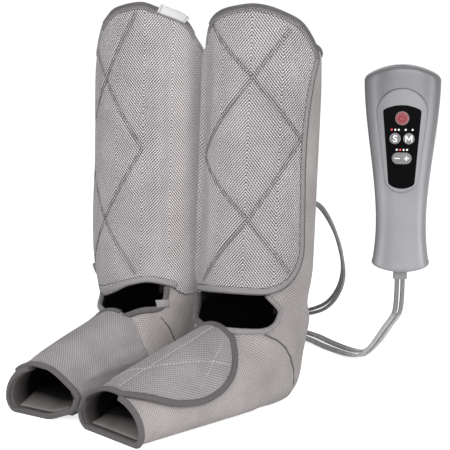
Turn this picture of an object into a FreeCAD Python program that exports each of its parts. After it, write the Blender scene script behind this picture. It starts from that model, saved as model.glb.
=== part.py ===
import FreeCAD, Part
import os
from math import cos, pi, radians, sin, sqrt, tan

# Foot and calf massager: two air-compression leg wraps, their air hoses and a hand controller.
# Millimetres. Toes point to -Y and +Z is up. Each wrap is drawn in its own frame, with +X towards the
# outer side of the leg and Y = 0 at the back of the heel, then mirrored and placed as one of a pair.

V = FreeCAD.Vector
UP = V(0, 0, 1)
ORIGIN = V(0, 0, 0)
FAR = 300.0

# Pair
wrap_half_spacing = 83.0
toe_in = 6.9
left_side = 1
right_side = -1
round_fullness = 0.5523
foot_facets = 7
corner_facets = 3
heel_facets = 6

# Calf sleeve
calf_axis_y = -42.4
calf_lean = 3.0
calf_radius = 61.0
cover_cloth = 2.2
bladder_thick = 3.0
lining_cloth = 2.2
layer_gap = 0.3
calf_bottom = 106.0
rear_rim_height = 380.0
front_rim_height = 430.0
lining_drop = 4.0
bladder_margin = 26.0
bladder_start_angle = 12.0
bladder_end_angle = 168.0

# Calf flap
flap_thick = 5.8
flap_bottom = 119.0
hinge_angle = 220.0
hinge_gap = 0.3
underlap_angle = 22.0
free_edge_y = 7.0
flap_bottom_corner = 30.0
flap_top_corner_height = 46.0
flap_top_corner_reach = 30.0
rim_fall_reach = 80.0

# Hook-and-loop tapes
tape_thick = 0.7
tape_seat = 0.1
tape_run = 0.6
tape_gap = 2 * tape_thick + 2 * tape_seat + tape_run
calf_tape_margin = 36.0
calf_tape_angle = 16.0
calf_tape_edge_angle = 3.0

# Foot sleeve
toe_y = -242.0
foot_back_y = -100.0
sleeve_end_y = -40.0
sleeve_end_half_width = 45.0
toe_half_width = 45.0
ankle_half_width = 50.0
toe_height = 47.0
ankle_height = 86.0
sole_corner = 16.0
foot_wall = 6.0
foot_seam_height = 30.0
underlap_edge_x = 10.0
slit_floor = 91.0
slit_start_y = -52.0
slit_round = 16.0
instep_cut_x = -30.0
instep_cut_height = 60.0
instep_end_y = -70.0
heel_floor = (36.0, 52.0, -45.0)
heel_edge = (45.0, 58.0, -46.0)
heel_middle = (53.0, 60.0, -43.0)
heel_edge_height = 12.0
heel_middle_height = 50.0

# Foot flap
foot_flap_thick = 4.8
foot_flap_back_y = -104.0
foot_edge_front = 52.0
foot_edge_dip = 36.0
foot_edge_dip_y = -191.0
foot_edge_low = 32.0
foot_edge_low_y = -149.0
foot_edge_rise = 52.0
foot_edge_rise_y = -116.0
foot_tape_front_y = -205.0
foot_tape_back_y = -150.0
foot_tape_low = 37.0
foot_tape_high = 47.0

# Sole layers
foot_bladder_thick = 5.0
insole_thick = 5.0
foot_bladder_half_width = 30.0
insole_half_width = 33.0
pad_toe_clear = 6.0
pad_heel_y = -16.0
pad_taper = 8.0
pad_chamfer = 1.5

# Hose grommet on the back of the calf sleeve
grommet_height = 214.0
grommet_flange_radius = 12.0
grommet_sides = 12
grommet_flange_thick = 2.0
grommet_nose_width = 13.0
grommet_nose_height = 8.0
grommet_nose_length = 14.0

# Blank woven tag near the top of the right calf cover
tag_thick = 0.6
tag_start_angle = 193.0
tag_end_angle = 219.0
tag_drop = 1.0
tag_height = 14.0

# Controller
handset_x = 281.0
handset_y = -66.0
handset_z = 175.8
handset_yaw = 30.4
handset_length = 197.0
handset_wall = 2.4
handset_fullness = 0.72
shell_facets = 5
shell_rows = 5
room_facets = 3
room_rows = 3
bottom_half_width = 28.0
bottom_half_depth = 19.0
waist_height = 50.0
waist_half_width = 24.0
waist_half_depth = 18.5
chest_height = 104.0
chest_half_width = 29.0
chest_half_depth = 22.6
top_half_width = 37.2
top_half_depth = 24.0
top_corner_drop = 11.0
bottom_corner_rise = 9.0
parting_gap = 0.1

# Raised panel seat and key panel
seat_front = 25.4
seat_top = 174.0
seat_shoulder = 150.0
seat_bottom = 75.0
seat_top_half_width = 24.0
seat_bottom_half_width = 16.5
panel_thick = 1.2
panel_clear = 0.15
panel_top = 158.0
panel_shoulder = 151.0
panel_bottom = 78.6
panel_foot = 86.0
panel_top_half_width = 18.0
panel_bottom_half_width = 13.2
key_room_half_width = 16.0
key_room_low = 94.5
key_room_high = 157.5
key_wall = 1.8

# Keys
power_key_z = 145.4
power_key_radius = 6.7
letter_key_z = 125.5
letter_key_x = 6.6
letter_key_radius = 5.5
rocker_z = 106.6
rocker_half_width = 9.6
rocker_radius = 5.9
key_proud = 1.0
key_clear = 0.2
rocker_clear = 0.5
window_clear = 0.4
key_flange = 1.0
key_flange_thick = 1.0
key_sides = 20
flange_sides = 12
pin_sides = 10
key_flange_gap = 0.3
rocker_flange_gap = 0.9
key_travel = 1.0
switch_clear = 0.1
rocker_pin_radius = 0.8
rocker_pin_length = 2.6
rocker_pin_clear = 0.05
rocker_lug_half_width = 2.2
rocker_lug_thick = 2.0

# Indicator lenses
lens_radius = 1.0
lens_clear = 0.05
lens_sides = 6
lens_upper_z = 133.8
lens_upper_x = (-9.6, -6.3, -3.0, 3.4, 9.8)
lens_lower_z = 114.8
lens_lower_x = (-4.7, -1.5, 1.7, 4.9)

# Circuit board and key switches
board_half_width = 15.4
board_thick = 1.6
board_low = 95.2
board_high = 156.8
switch_size = 6.0
switch_height = 2.7
plunger_radius = 1.6
plunger_sides = 8
plunger_height = 0.8
rocker_switch_x = 6.0
board_post_radius = 2.0
post_sides = 6
board_post_x = 12.6
board_post_low = 97.4
board_post_high = 153.6

# Air pump
pump_y = 6.4
pump_low = 102.0
pump_sides = 16
pump_head_height = 26.0
pump_head_radius = 13.0
crank_room_radius = 9.0
crank_room_height = 12.0
motor_length = 32.0
motor_radius = 12.0
motor_wall = 1.5
armature_radius = 9.0
armature_length = 20.0
shaft_radius = 1.5
shaft_clear = 0.05
shaft_sides = 10
eccentric_radius = 5.0
eccentric_offset = 1.5
eccentric_height = 6.0
eccentric_rest = 2.0
cradle_half_width = 14.0
cradle_thick = 3.0
cradle_clear = 0.1
cradle_inset = 4.0

# Hose socket, valves and power inlet
socket_block_low = 26.0
socket_block_high = 40.0
socket_block_half_width = 14.0
socket_block_half_depth = 9.0
socket_sleeve_radius = 7.6
socket_bore_radius = 5.6
socket_bore_depth = 20.0
socket_hole_clear = 0.2
socket_sides = 16
shelf_thick = 3.0
shelf_half_width = 9.0
valve_width = 12.0
valve_depth = 12.0
valve_height = 20.0
valve_x = 7.4
jack_half_width = 4.5
jack_low = 9.0
jack_high = 18.0
jack_nose_radius = 3.9
jack_bore_radius = 2.75
jack_bore_depth = 8.0
jack_body_front = 8.6
jack_body_back = 14.8
jack_clear = 0.1
jack_sides = 16

# Shell screws
screw_places = ((-24.0, 176.0), (24.0, 176.0), (-15.0, 70.0), (15.0, 70.0))
screw_head_radius = 2.6
screw_head_height = 2.0
screw_shank_radius = 1.25
screw_sides = 8
screw_reach = 10.0
screw_clear = 0.1
screw_boss_radius = 3.6
screw_head_depth = 12.0

# Hose plug and hoses
plug_gap = 0.2
plug_collar_half = 6.8
plug_collar_height = 9.0
plug_collar_corner = 3.0
plug_barrel_radius = 5.5
plug_barrel_length = 15.0
hose_radius = 2.25
hose_sides = 5
hose_pitch = 5.6
arc_share = 0.45

# Middle line of each pair of hoses, from the plug to the grommet, in the frame of the standing pair
left_hose_route = (
    (263, -45, 119), (229, -4, 94), (192, 40, 64), (155, 84, 37), (118, 124, 14), (80, 152, 3.4),
    (39, 164, 3.4), (-1, 184, 3.4), (-38, 186, 4), (-58, 160, 9), (-45, 128, 24), (-8, 108, 44),
    (35, 92, 62), (72, 80, 72), (102, 82, 86), (117, 92, 116), (113, 94, 152), (102, 86, 188),
)
right_hose_route = (
    (263, -38, 122), (229, 6, 99), (192, 52, 69), (155, 97, 41), (118, 139, 17), (80, 170, 3.4),
    (38, 184, 3.4), (-5, 206, 3.4), (-50, 208, 3.4), (-86, 184, 7), (-102, 148, 30), (-104, 122, 75),
    (-100, 106, 125), (-97, 96, 172),
)
left_hose_drop = 30.0
right_hose_drop = 24.0
hose_lead = 22.0


def block(x0, x1, y0, y1, z0, z1):
    return Part.makeBox(x1 - x0, y1 - y0, z1 - z0, V(x0, y0, z0))


def line(start, end):
    return Part.LineSegment(start, end).toShape()


def arc(start, middle, end):
    return Part.Arc(start, middle, end).toShape()


def bend(start, corner, end, fullness, facets):
    # Points of a quarter turn from start to end, pulled towards the corner where its tangents meet.
    near = start + (corner - start) * fullness
    far = end + (corner - end) * fullness
    points = []
    for spot in range(facets):
        t = spot / facets
        u = 1 - t
        points.append(start * u ** 3 + near * (3 * u * u * t) + far * (3 * u * t * t) + end * t ** 3)
    return points


def closed(points):
    return Part.Face(Part.makePolygon(points + [points[0]]))


def faceted_loft(rows):
    # Solid through rows of points, with flat facets between the rows and a flat face at each end.
    faces = [closed(rows[0]), closed(rows[-1])]
    for low, high in zip(rows, rows[1:]):
        for spot in range(len(low)):
            after = (spot + 1) % len(low)
            faces.append(closed([low[spot], low[after], high[after]]))
            faces.append(closed([low[spot], high[after], high[spot]]))
    solid = Part.Solid(Part.Shell(faces))
    if solid.Volume < 0:
        solid.reverse()
    return solid


def rod(radius, base, length, sides, upright=False):
    # Many-sided rod along Y, or along Z when upright.
    points = []
    for spot in range(sides):
        turn = 2 * pi * (spot + 0.5) / sides
        side = V(cos(turn), sin(turn), 0) if upright else V(cos(turn), 0, sin(turn))
        points.append(base + side * radius)
    return closed(points).extrude(V(0, 0, length) if upright else V(0, length, 0))


def oval(half_x, half_y, middle_y, z, fullness, facets):
    ends = [V(half_x, middle_y, z), V(0, middle_y + half_y, z), V(-half_x, middle_y, z),
            V(0, middle_y - half_y, z)]
    points = []
    for spot in range(4):
        start = ends[spot]
        end = ends[(spot + 1) % 4]
        corner = V(start.x + end.x, start.y + end.y - middle_y, z)
        points.extend(bend(start, corner, end, fullness, facets))
    return points


def prism(edges, way):
    return Part.Face(Part.Wire(edges)).extrude(way)


def disc(radius, base, length, axis):
    return Part.makeCylinder(radius, length, base, axis)


def ring_sector(inner, outer, low, high, start, end, middle_x=0.0):
    pie = Part.makeCylinder(outer, high - low, V(0, 0, low), UP, end - start)
    pie = pie.cut(Part.makeCylinder(inner, high - low, V(0, 0, low)))
    pie.rotate(ORIGIN, UP, start)
    pie.translate(V(middle_x, 0, 0))
    return pie


# Calf sleeve, drawn upright round its own axis

flap_reach = calf_radius + tape_gap + flap_thick
flap_middle_x = (flap_reach ** 2 - calf_radius ** 2) / (
    2 * (flap_reach - calf_radius * cos(radians(hinge_angle))))
flap_radius = flap_reach - flap_middle_x
flap_inner_radius = flap_radius - flap_thick
bladder_outer = calf_radius - cover_cloth - layer_gap
lining_outer = bladder_outer - bladder_thick - layer_gap


def lean(shape):
    shape.rotate(ORIGIN, V(1, 0, 0), -calf_lean)
    shape.translate(V(0, calf_axis_y, 0))
    return shape


def above_inner_rim(drop=0.0):
    # The rim falls in one curve from the high front to the low back on the inner side of the leg.
    high = front_rim_height - drop
    low = rear_rim_height - drop
    front = V(-FAR, -calf_radius, high)
    middle = V(-FAR, rim_fall_reach / 2 - calf_radius, 0.63 * high + 0.37 * low)
    back = V(-FAR, rim_fall_reach - calf_radius, low)
    edges = [arc(front, middle, back), line(back, V(-FAR, FAR, low)),
             line(V(-FAR, FAR, low), V(-FAR, FAR, high + FAR)),
             line(V(-FAR, FAR, high + FAR), V(-FAR, -calf_radius, high + FAR)),
             line(V(-FAR, -calf_radius, high + FAR), front)]
    return prism(edges, V(FAR, 0, 0))


def calf_layer(outer, thick, start, end, low, drop):
    layer = ring_sector(outer - thick, outer, low, front_rim_height, start, end)
    layer = layer.cut(above_inner_rim(drop))
    return layer.cut(block(0, FAR, -FAR, FAR, rear_rim_height - drop, front_rim_height + FAR))


def calf_cover():
    return calf_layer(calf_radius, cover_cloth, -underlap_angle, hinge_angle, calf_bottom, 0.0)


def calf_lining():
    return calf_layer(lining_outer, lining_cloth, -underlap_angle, hinge_angle,
                      calf_bottom + layer_gap, lining_drop)


def calf_bladder():
    return ring_sector(bladder_outer - bladder_thick, bladder_outer, calf_bottom + bladder_margin,
                       rear_rim_height - bladder_margin, bladder_start_angle, bladder_end_angle)


def flap_outline():
    # Outer side of the flap: straight free edge with a rounded corner at each end.
    corner = flap_bottom_corner
    slope = corner * (1 - sqrt(0.5))
    top = front_rim_height - flap_top_corner_height
    shoulder_y = free_edge_y - flap_top_corner_reach
    shoulder_z = front_rim_height - flap_top_corner_height / 4
    points = [V(0, -FAR, flap_bottom), V(0, free_edge_y - corner, flap_bottom),
              V(0, free_edge_y, flap_bottom + corner), V(0, free_edge_y, top),
              V(0, shoulder_y, shoulder_z), V(0, -calf_radius, front_rim_height),
              V(0, -FAR, front_rim_height)]
    bend = V(0, free_edge_y - slope, flap_bottom + slope)
    top_bend = V(0, free_edge_y - flap_top_corner_reach / 4, (top + shoulder_z) / 2 + corner / 8)
    edges = [line(points[0], points[1]), arc(points[1], bend, points[2]), line(points[2], points[3]),
             arc(points[3], top_bend, points[4]), line(points[4], points[5]),
             line(points[5], points[6]), line(points[6], points[0])]
    return prism(edges, V(FAR, 0, 0))


def calf_flap():
    flap = ring_sector(flap_inner_radius, flap_radius, flap_bottom, front_rim_height, -180, 40,
                       flap_middle_x)
    inner_half = block(-FAR, 0, -FAR, FAR, flap_bottom, front_rim_height).cut(above_inner_rim())
    flap = flap.common(flap_outline().fuse(inner_half))
    front = block(-FAR, FAR, hinge_gap, FAR, 0, front_rim_height + FAR)
    front.rotate(ORIGIN, UP, hinge_angle)
    return flap.common(front)


def calf_hook_strip():
    outer = flap_inner_radius - tape_seat
    return ring_sector(outer - tape_thick, outer, flap_bottom + calf_tape_margin,
                       rear_rim_height - calf_tape_margin, -calf_tape_angle, calf_tape_edge_angle,
                       flap_middle_x)


def calf_loop_patch():
    inner = calf_radius + tape_seat
    return ring_sector(inner, inner + tape_thick, flap_bottom + calf_tape_margin,
                       rear_rim_height - calf_tape_margin, -calf_tape_angle, calf_tape_edge_angle)


def hose_grommet():
    start = calf_radius - grommet_flange_thick
    length = 2 * grommet_flange_thick
    flange = rod(grommet_flange_radius, V(0, start, grommet_height), length, grommet_sides)
    flange = flange.cut(Part.makeCylinder(calf_radius + tape_seat, front_rim_height))
    half = grommet_nose_width / 2 - grommet_nose_height / 2
    nose_y = calf_radius + tape_seat
    nose = block(-half, half, nose_y, nose_y + grommet_nose_length,
                 grommet_height - grommet_nose_height / 2, grommet_height + grommet_nose_height / 2)
    for x in (-half, half):
        nose = nose.fuse(rod(grommet_nose_height / 2, V(x, nose_y, grommet_height), grommet_nose_length,
                             grommet_sides))
    return flange.fuse(nose).removeSplitter()


def woven_tag():
    inner = calf_radius + tape_seat
    tag = ring_sector(inner, inner + tag_thick, rear_rim_height - tag_height, front_rim_height,
                      tag_start_angle, tag_end_angle)
    return tag.cut(above_inner_rim(tag_drop)).common(above_inner_rim(tag_drop + tag_height))


# Foot sleeve

def foot_size(y):
    share = (y - toe_y) / (foot_back_y - toe_y)
    half_width = toe_half_width + (ankle_half_width - toe_half_width) * share
    height = toe_height + (ankle_height - toe_height) * share
    if y > foot_back_y:
        share = (y - foot_back_y) / (sleeve_end_y - foot_back_y)
        half_width = ankle_half_width + (sleeve_end_half_width - ankle_half_width) * share
        height = ankle_height
    return half_width, height


def arch(y, middle_x, half_width, top):
    right = V(middle_x + half_width, y, sole_corner)
    crown = V(middle_x, y, top)
    left = V(middle_x - half_width, y, sole_corner)
    points = bend(right, V(right.x, y, top), crown, round_fullness, foot_facets)
    points.extend(bend(crown, V(left.x, y, top), left, round_fullness, foot_facets))
    return points


def sleeve_section(y, grow):
    half_width, height = foot_size(y)
    flat = half_width - sole_corner
    side = half_width + grow
    floor = -grow
    points = bend(V(flat, y, floor), V(side, y, floor), V(side, y, sole_corner), round_fullness, corner_facets)
    points.extend(arch(y, 0.0, side, height + grow))
    points.extend(bend(V(-side, y, sole_corner), V(-side, y, floor), V(-flat, y, floor), round_fullness,
                       corner_facets))
    points.append(V(-flat, y, floor))
    return points


def arch_section(y, rise, shift):
    half_width, height = foot_size(y)
    width = half_width + shift[0]
    middle = shift[1]
    low = sole_corner / 2
    points = arch(y, middle, width, height + rise)
    points.extend([V(middle - width, y, sole_corner), V(middle - width, y, low), V(middle + width, y, low)])
    return points


def sleeve(grow, front, back):
    return faceted_loft([sleeve_section(y, grow) for y in (front, foot_back_y, back)])


def arch_ring(outer_rise, outer_shift, inner_rise, inner_shift):
    front = toe_y - foot_wall
    outer = faceted_loft([arch_section(y, outer_rise, outer_shift) for y in (front, foot_back_y)])
    inner = faceted_loft([arch_section(y, inner_rise, inner_shift) for y in (front, foot_back_y)])
    below = block(-FAR, FAR, -FAR, FAR, 0, sole_corner + 1)
    return outer.cut(inner).cut(below)


def heel(grow):
    # Heel cup, from the narrow sole up to the round calf sleeve.
    top = calf_bottom + 8.0
    axis_y = calf_axis_y + top * tan(radians(calf_lean))
    rows = ((heel_floor, -grow), (heel_edge, heel_edge_height - grow / 2),
            (heel_middle, heel_middle_height), ((calf_radius, calf_radius, axis_y), top))
    sections = []
    for (half_x, half_y, middle_y), z in rows:
        sections.append(oval(half_x + grow, half_y + grow, middle_y, z, round_fullness, heel_facets))
    return faceted_loft(sections)


def foot_cover():
    outer = sleeve(0.0, toe_y, sleeve_end_y).fuse(heel(0.0))
    inner = sleeve(-foot_wall, toe_y - foot_wall, sleeve_end_y).fuse(heel(-foot_wall))
    shell = outer.cut(inner)
    shell = shell.cut(block(-FAR, underlap_edge_x, -FAR, foot_flap_back_y, foot_seam_height, FAR))
    shell = shell.cut(block(instep_cut_x, underlap_edge_x, -FAR, instep_end_y, instep_cut_height, FAR))
    bend = slit_round * (1 - sqrt(0.5))
    low = V(-FAR, slit_start_y - slit_round, slit_floor)
    high = V(-FAR, slit_start_y, slit_floor + slit_round)
    turn = V(-FAR, slit_start_y - bend, slit_floor + bend)
    edges = [line(V(-FAR, -FAR, slit_floor), low), arc(low, turn, high),
             line(high, V(-FAR, slit_start_y, FAR)),
             line(V(-FAR, slit_start_y, FAR), V(-FAR, -FAR, FAR)),
             line(V(-FAR, -FAR, FAR), V(-FAR, -FAR, slit_floor))]
    shell = shell.cut(prism(edges, V(2 * FAR, 0, 0)))
    above = lean(block(-FAR, FAR, -FAR, FAR, calf_bottom - layer_gap, FAR))
    return shell.cut(above)


foot_flap_lift = tape_gap + foot_flap_thick
foot_flap_outer = (foot_flap_lift / 2, foot_flap_lift / 2)
foot_flap_inner = (foot_flap_lift / 2 - foot_flap_thick, foot_flap_lift / 2)
foot_flap_x = foot_flap_lift / 2


def foot_flap():
    ring = arch_ring(foot_flap_lift, foot_flap_outer, tape_gap, foot_flap_inner)
    _, back_height = foot_size(foot_flap_back_y)
    front = V(foot_flap_x, toe_y, foot_edge_front)
    dip = V(foot_flap_x, foot_edge_dip_y, foot_edge_dip)
    low = V(foot_flap_x, foot_edge_low_y, foot_edge_low)
    rise = V(foot_flap_x, foot_edge_rise_y, foot_edge_rise)
    back = V(foot_flap_x, foot_flap_back_y, back_height - foot_wall)
    edges = [arc(front, dip, low), arc(low, rise, back),
             line(back, V(foot_flap_x, foot_flap_back_y, FAR)),
             line(V(foot_flap_x, foot_flap_back_y, FAR), V(foot_flap_x, toe_y, FAR)),
             line(V(foot_flap_x, toe_y, FAR), front)]
    outer_half = prism(edges, V(FAR, 0, 0))
    inner_half = block(-FAR, foot_flap_x, toe_y, foot_flap_back_y, foot_seam_height + hinge_gap, FAR)
    return ring.common(outer_half.fuse(inner_half))


def foot_tape(outer_rise, outer_shift, inner_rise, inner_shift):
    strip = arch_ring(outer_rise, outer_shift, inner_rise, inner_shift)
    return strip.common(block(0, FAR, foot_tape_front_y, foot_tape_back_y, foot_tape_low, foot_tape_high))


def foot_hook_strip():
    outer = tape_gap - tape_seat
    inner = outer - tape_thick
    base = foot_flap_inner[0]
    return foot_tape(outer, (base - tape_seat, foot_flap_x), inner,
                     (base - tape_seat - tape_thick, foot_flap_x))


def foot_loop_patch():
    outer = tape_seat + tape_thick
    return foot_tape(outer, (outer, 0.0), tape_seat, (tape_seat, 0.0))


def sole_pad(half_width, low, thick):
    front = toe_y + pad_toe_clear
    heel_half = half_width - pad_taper
    back = pad_heel_y - heel_half
    edges = [line(V(half_width, front, low), V(heel_half, back, low)),
             arc(V(heel_half, back, low), V(0, pad_heel_y, low), V(-heel_half, back, low)),
             line(V(-heel_half, back, low), V(-half_width, front, low)),
             line(V(-half_width, front, low), V(half_width, front, low))]
    pad = prism(edges, V(0, 0, thick))
    rim = [edge for edge in pad.Edges if edge.BoundBox.ZMin > low + thick / 2]
    return pad.makeChamfer(pad_chamfer, rim)


def foot_bladder():
    return sole_pad(foot_bladder_half_width, foot_wall + layer_gap, foot_bladder_thick)


def insole():
    low = foot_wall + 2 * layer_gap + foot_bladder_thick
    return sole_pad(insole_half_width, low, insole_thick)


# Controller, drawn upright with its front towards -Y and its lowest point at the origin

def handset_size(z):
    # Cubic curve through the four stations of the body.
    stations = ((0.0, bottom_half_width, bottom_half_depth), (waist_height, waist_half_width, waist_half_depth),
                (chest_height, chest_half_width, chest_half_depth),
                (handset_length, top_half_width, top_half_depth))
    half_width = 0.0
    half_depth = 0.0
    for here, width, depth in stations:
        share = 1.0
        for other, _, _ in stations:
            if other != here:
                share *= (z - other) / (here - other)
        half_width += share * width
        half_depth += share * depth
    return half_width, half_depth


def handset_form(inset, facets, rows):
    sections = []
    for row in range(rows + 1):
        z = handset_length * row / rows
        half_width, half_depth = handset_size(z)
        sections.append(oval(half_width - inset, half_depth - inset, 0.0, z, handset_fullness, facets))
    body = faceted_loft(sections)
    low = bottom_corner_rise + inset
    high = handset_length - top_corner_drop - inset
    wide = top_half_width
    corners = [V(-wide, -FAR, low), V(wide, -FAR, low), V(wide, -FAR, high), V(-wide, -FAR, high)]
    edges = [arc(corners[0], V(0, -FAR, inset), corners[1]), line(corners[1], corners[2]),
             arc(corners[2], V(0, -FAR, handset_length - inset), corners[3]), line(corners[3], corners[0])]
    return body.common(prism(edges, V(0, 2 * FAR, 0)))


def handset_outside():
    return handset_form(0.0, shell_facets, shell_rows)


def handset_inside():
    return handset_form(handset_wall, room_facets, room_rows)


def tongue(front, depth, top, shoulder, foot, bottom, top_half, bottom_half, grow=0.0):
    # Plate outline with an arched top, tapering sides and a rounded foot.
    a = V(-top_half - grow, -front, shoulder)
    b = V(0, -front, top + grow)
    c = V(top_half + grow, -front, shoulder)
    d = V(bottom_half + grow, -front, foot)
    e = V(0, -front, bottom - grow)
    f = V(-bottom_half - grow, -front, foot)
    return prism([arc(a, b, c), line(c, d), arc(d, e, f), line(f, a)], V(0, depth, 0))


panel_back = seat_front - panel_thick
key_room_front = panel_back - key_wall
flange_front = key_room_front - key_flange_gap
flange_back = flange_front - key_flange_thick
plunger_front = flange_back - key_travel - switch_clear
board_front = plunger_front - plunger_height - switch_height
board_back = board_front - board_thick
letter_keys = ((-letter_key_x, letter_key_z), (letter_key_x, letter_key_z))


def round_key(x, z, radius):
    cap = rod(radius, V(x, -seat_front - key_proud, z), seat_front + key_proud - flange_front, key_sides)
    rim = [edge for edge in cap.Edges if edge.BoundBox.YMax < key_proud / 2 - seat_front - key_proud]
    cap = cap.makeChamfer(key_proud / 2, rim)
    flange = rod(radius + key_flange, V(x, -flange_front, z), key_flange_thick, flange_sides)
    return cap.fuse(flange)


def pill(half_width, radius, front, depth):
    half = half_width - radius
    points = []
    for x, first in ((half, -90.0), (-half, 90.0)):
        for spot in range(key_sides // 2 + 1):
            turn = radians(first + 360.0 * spot / key_sides)
            points.append(V(x + radius * cos(turn), -front, rocker_z + radius * sin(turn)))
    return closed(points).extrude(V(0, depth, 0))


rocker_flange_front = key_room_front - rocker_flange_gap
rocker_pivot = rocker_flange_front - key_flange_thick / 2


def level_rocker():
    front = seat_front + key_proud
    cap = pill(rocker_half_width, rocker_radius, front, front - rocker_flange_front)
    wide = rocker_half_width + key_flange
    tall = rocker_radius + key_flange
    flange = block(-wide, wide, -rocker_flange_front, key_flange_thick - rocker_flange_front,
                   rocker_z - tall, rocker_z + tall)
    reach = tall + rocker_pin_length
    pin = rod(rocker_pin_radius, V(0, -rocker_pivot, rocker_z - reach), 2 * reach, pin_sides, True)
    return cap.fuse(flange).fuse(pin)


def key_holes(shape, clear, pill_clear):
    front = seat_front + key_proud
    depth = key_proud + panel_thick + key_wall + 1.0
    places = [(0.0, power_key_z, power_key_radius)]
    for x, z in letter_keys:
        places.append((x, z, letter_key_radius))
    for x, z, radius in places:
        shape = shape.cut(rod(radius + clear, V(x, -front, z), depth, key_sides))
    return shape.cut(pill(rocker_half_width + pill_clear, rocker_radius + pill_clear, front, depth))


def key_windows(shape):
    # Openings in the shell behind the panel, larger than the keys that pass through them.
    depth = panel_thick + key_wall + 1.0
    wide = rocker_half_width + window_clear
    tall = rocker_radius + window_clear
    shape = shape.cut(block(-wide, wide, -seat_front, depth - seat_front, rocker_z - tall, rocker_z + tall))
    places = [(0.0, power_key_z, power_key_radius)]
    for x, z in letter_keys:
        places.append((x, z, letter_key_radius))
    for x, z, radius in places:
        shape = shape.cut(rod(radius + window_clear, V(x, -seat_front, z), depth, flange_sides))
    return shape


def lens_places():
    places = []
    for x in lens_upper_x:
        places.append((x, lens_upper_z))
    for x in lens_lower_x:
        places.append((x, lens_lower_z))
    return places


def lens(x, z, grow):
    return rod(lens_radius + grow, V(x, -seat_front, z), panel_thick, lens_sides)


def key_panel():
    panel = tongue(seat_front, panel_thick, panel_top, panel_shoulder, panel_foot, panel_bottom,
                   panel_top_half_width, panel_bottom_half_width)
    panel = key_holes(panel, key_clear, rocker_clear)
    for x, z in lens_places():
        panel = panel.cut(lens(x, z, lens_clear))
    return panel


def indicator_lenses():
    return Part.makeCompound([lens(x, z, 0.0) for x, z in lens_places()])


def screw_boss(x, z, radius, start, end):
    return rod(radius, V(x, start, z), end - start, screw_sides)


def front_shell():
    outer = handset_outside()
    inner = handset_inside()
    seat = tongue(seat_front, seat_front - chest_half_depth + 2 * handset_wall, seat_top, seat_shoulder,
                  panel_foot, seat_bottom, seat_top_half_width, seat_bottom_half_width)
    shell = outer.fuse(seat).cut(inner)
    shell = shell.cut(block(-key_room_half_width, key_room_half_width, -key_room_front, 0,
                            key_room_low, key_room_high))
    for x in (-board_post_x, board_post_x):
        for z in (board_post_low, board_post_high):
            post = rod(board_post_radius, V(x, -key_room_front, z), key_room_front - board_front, post_sides)
            shell = shell.fuse(post)
    lug_low = rocker_radius + key_flange + rocker_pin_length - rocker_lug_thick
    for way in (-1, 1):
        z0 = rocker_z + way * lug_low
        z1 = z0 + way * rocker_lug_thick
        lug = block(-rocker_lug_half_width, rocker_lug_half_width, -key_room_front,
                    rocker_lug_half_width - rocker_pivot, min(z0, z1), max(z0, z1))
        bore = disc(rocker_pin_radius + rocker_pin_clear, V(0, -rocker_pivot, min(z0, z1)),
                    rocker_lug_thick, UP)
        shell = shell.fuse(lug).cut(bore)
    shell = shell.cut(tongue(seat_front, panel_thick, panel_top, panel_shoulder, panel_foot, panel_bottom,
                             panel_top_half_width, panel_bottom_half_width, panel_clear))
    shell = key_windows(shell)
    for x, z in screw_places:
        boss = screw_boss(x, z, screw_boss_radius, -top_half_depth, -parting_gap / 2).common(outer)
        pilot = rod(screw_shank_radius + screw_clear, V(x, -screw_reach - screw_clear, z),
                    screw_reach + screw_clear, screw_sides)
        shell = shell.fuse(boss).cut(pilot)
    shell = shell.cut(rod(socket_sleeve_radius + socket_hole_clear, V(0, 0, -1), socket_block_low,
                          socket_sides, True))
    return shell.common(block(-FAR, FAR, -FAR, -parting_gap / 2, -FAR, FAR))


def pump_cradle(outer, z):
    rib = block(-cradle_half_width, cradle_half_width, pump_y, FAR, z, z + cradle_thick)
    return rib.common(outer)


def rear_shell():
    outer = handset_outside()
    shell = outer.cut(handset_inside())
    head_rib = pump_low + cradle_inset
    motor_rib = pump_low + pump_head_height + motor_length - cradle_inset - cradle_thick
    for z, radius in ((head_rib, pump_head_radius), (motor_rib, motor_radius)):
        seat = rod(radius + cradle_clear, V(0, pump_y, z), cradle_thick, pump_sides, True)
        shell = shell.fuse(pump_cradle(outer, z).cut(seat))
    shelf = block(-shelf_half_width, shelf_half_width, socket_sleeve_radius + socket_hole_clear, FAR,
                  socket_block_low - shelf_thick, socket_block_low)
    shell = shell.fuse(shelf.common(outer))
    for x, z in screw_places:
        boss = screw_boss(x, z, screw_boss_radius, parting_gap / 2, top_half_depth).common(outer)
        head = rod(screw_head_radius + screw_clear, V(x, screw_head_depth - screw_head_height, z), FAR,
                   screw_sides)
        shank = rod(screw_shank_radius + screw_clear, V(x, 0, z), FAR, screw_sides)
        shell = shell.fuse(boss).cut(head).cut(shank)
    jack_z = (jack_low + jack_high) / 2
    shell = shell.cut(rod(jack_nose_radius + jack_clear, V(0, jack_body_back, jack_z), FAR, jack_sides))
    shell = shell.cut(rod(socket_sleeve_radius + socket_hole_clear, V(0, 0, -1),
                          socket_block_low + 1, socket_sides, True))
    return shell.common(block(-FAR, FAR, parting_gap / 2, FAR, -FAR, FAR))


def shell_screws():
    screws = []
    for x, z in screw_places:
        seat = screw_head_depth - screw_head_height
        head = rod(screw_head_radius, V(x, seat, z), screw_head_height, screw_sides)
        shank = rod(screw_shank_radius, V(x, -screw_reach, z), screw_reach + seat, screw_sides)
        screws.append(head.fuse(shank))
    return Part.makeCompound(screws)


def circuit_board():
    return block(-board_half_width, board_half_width, -board_front, -board_back, board_low, board_high)


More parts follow.
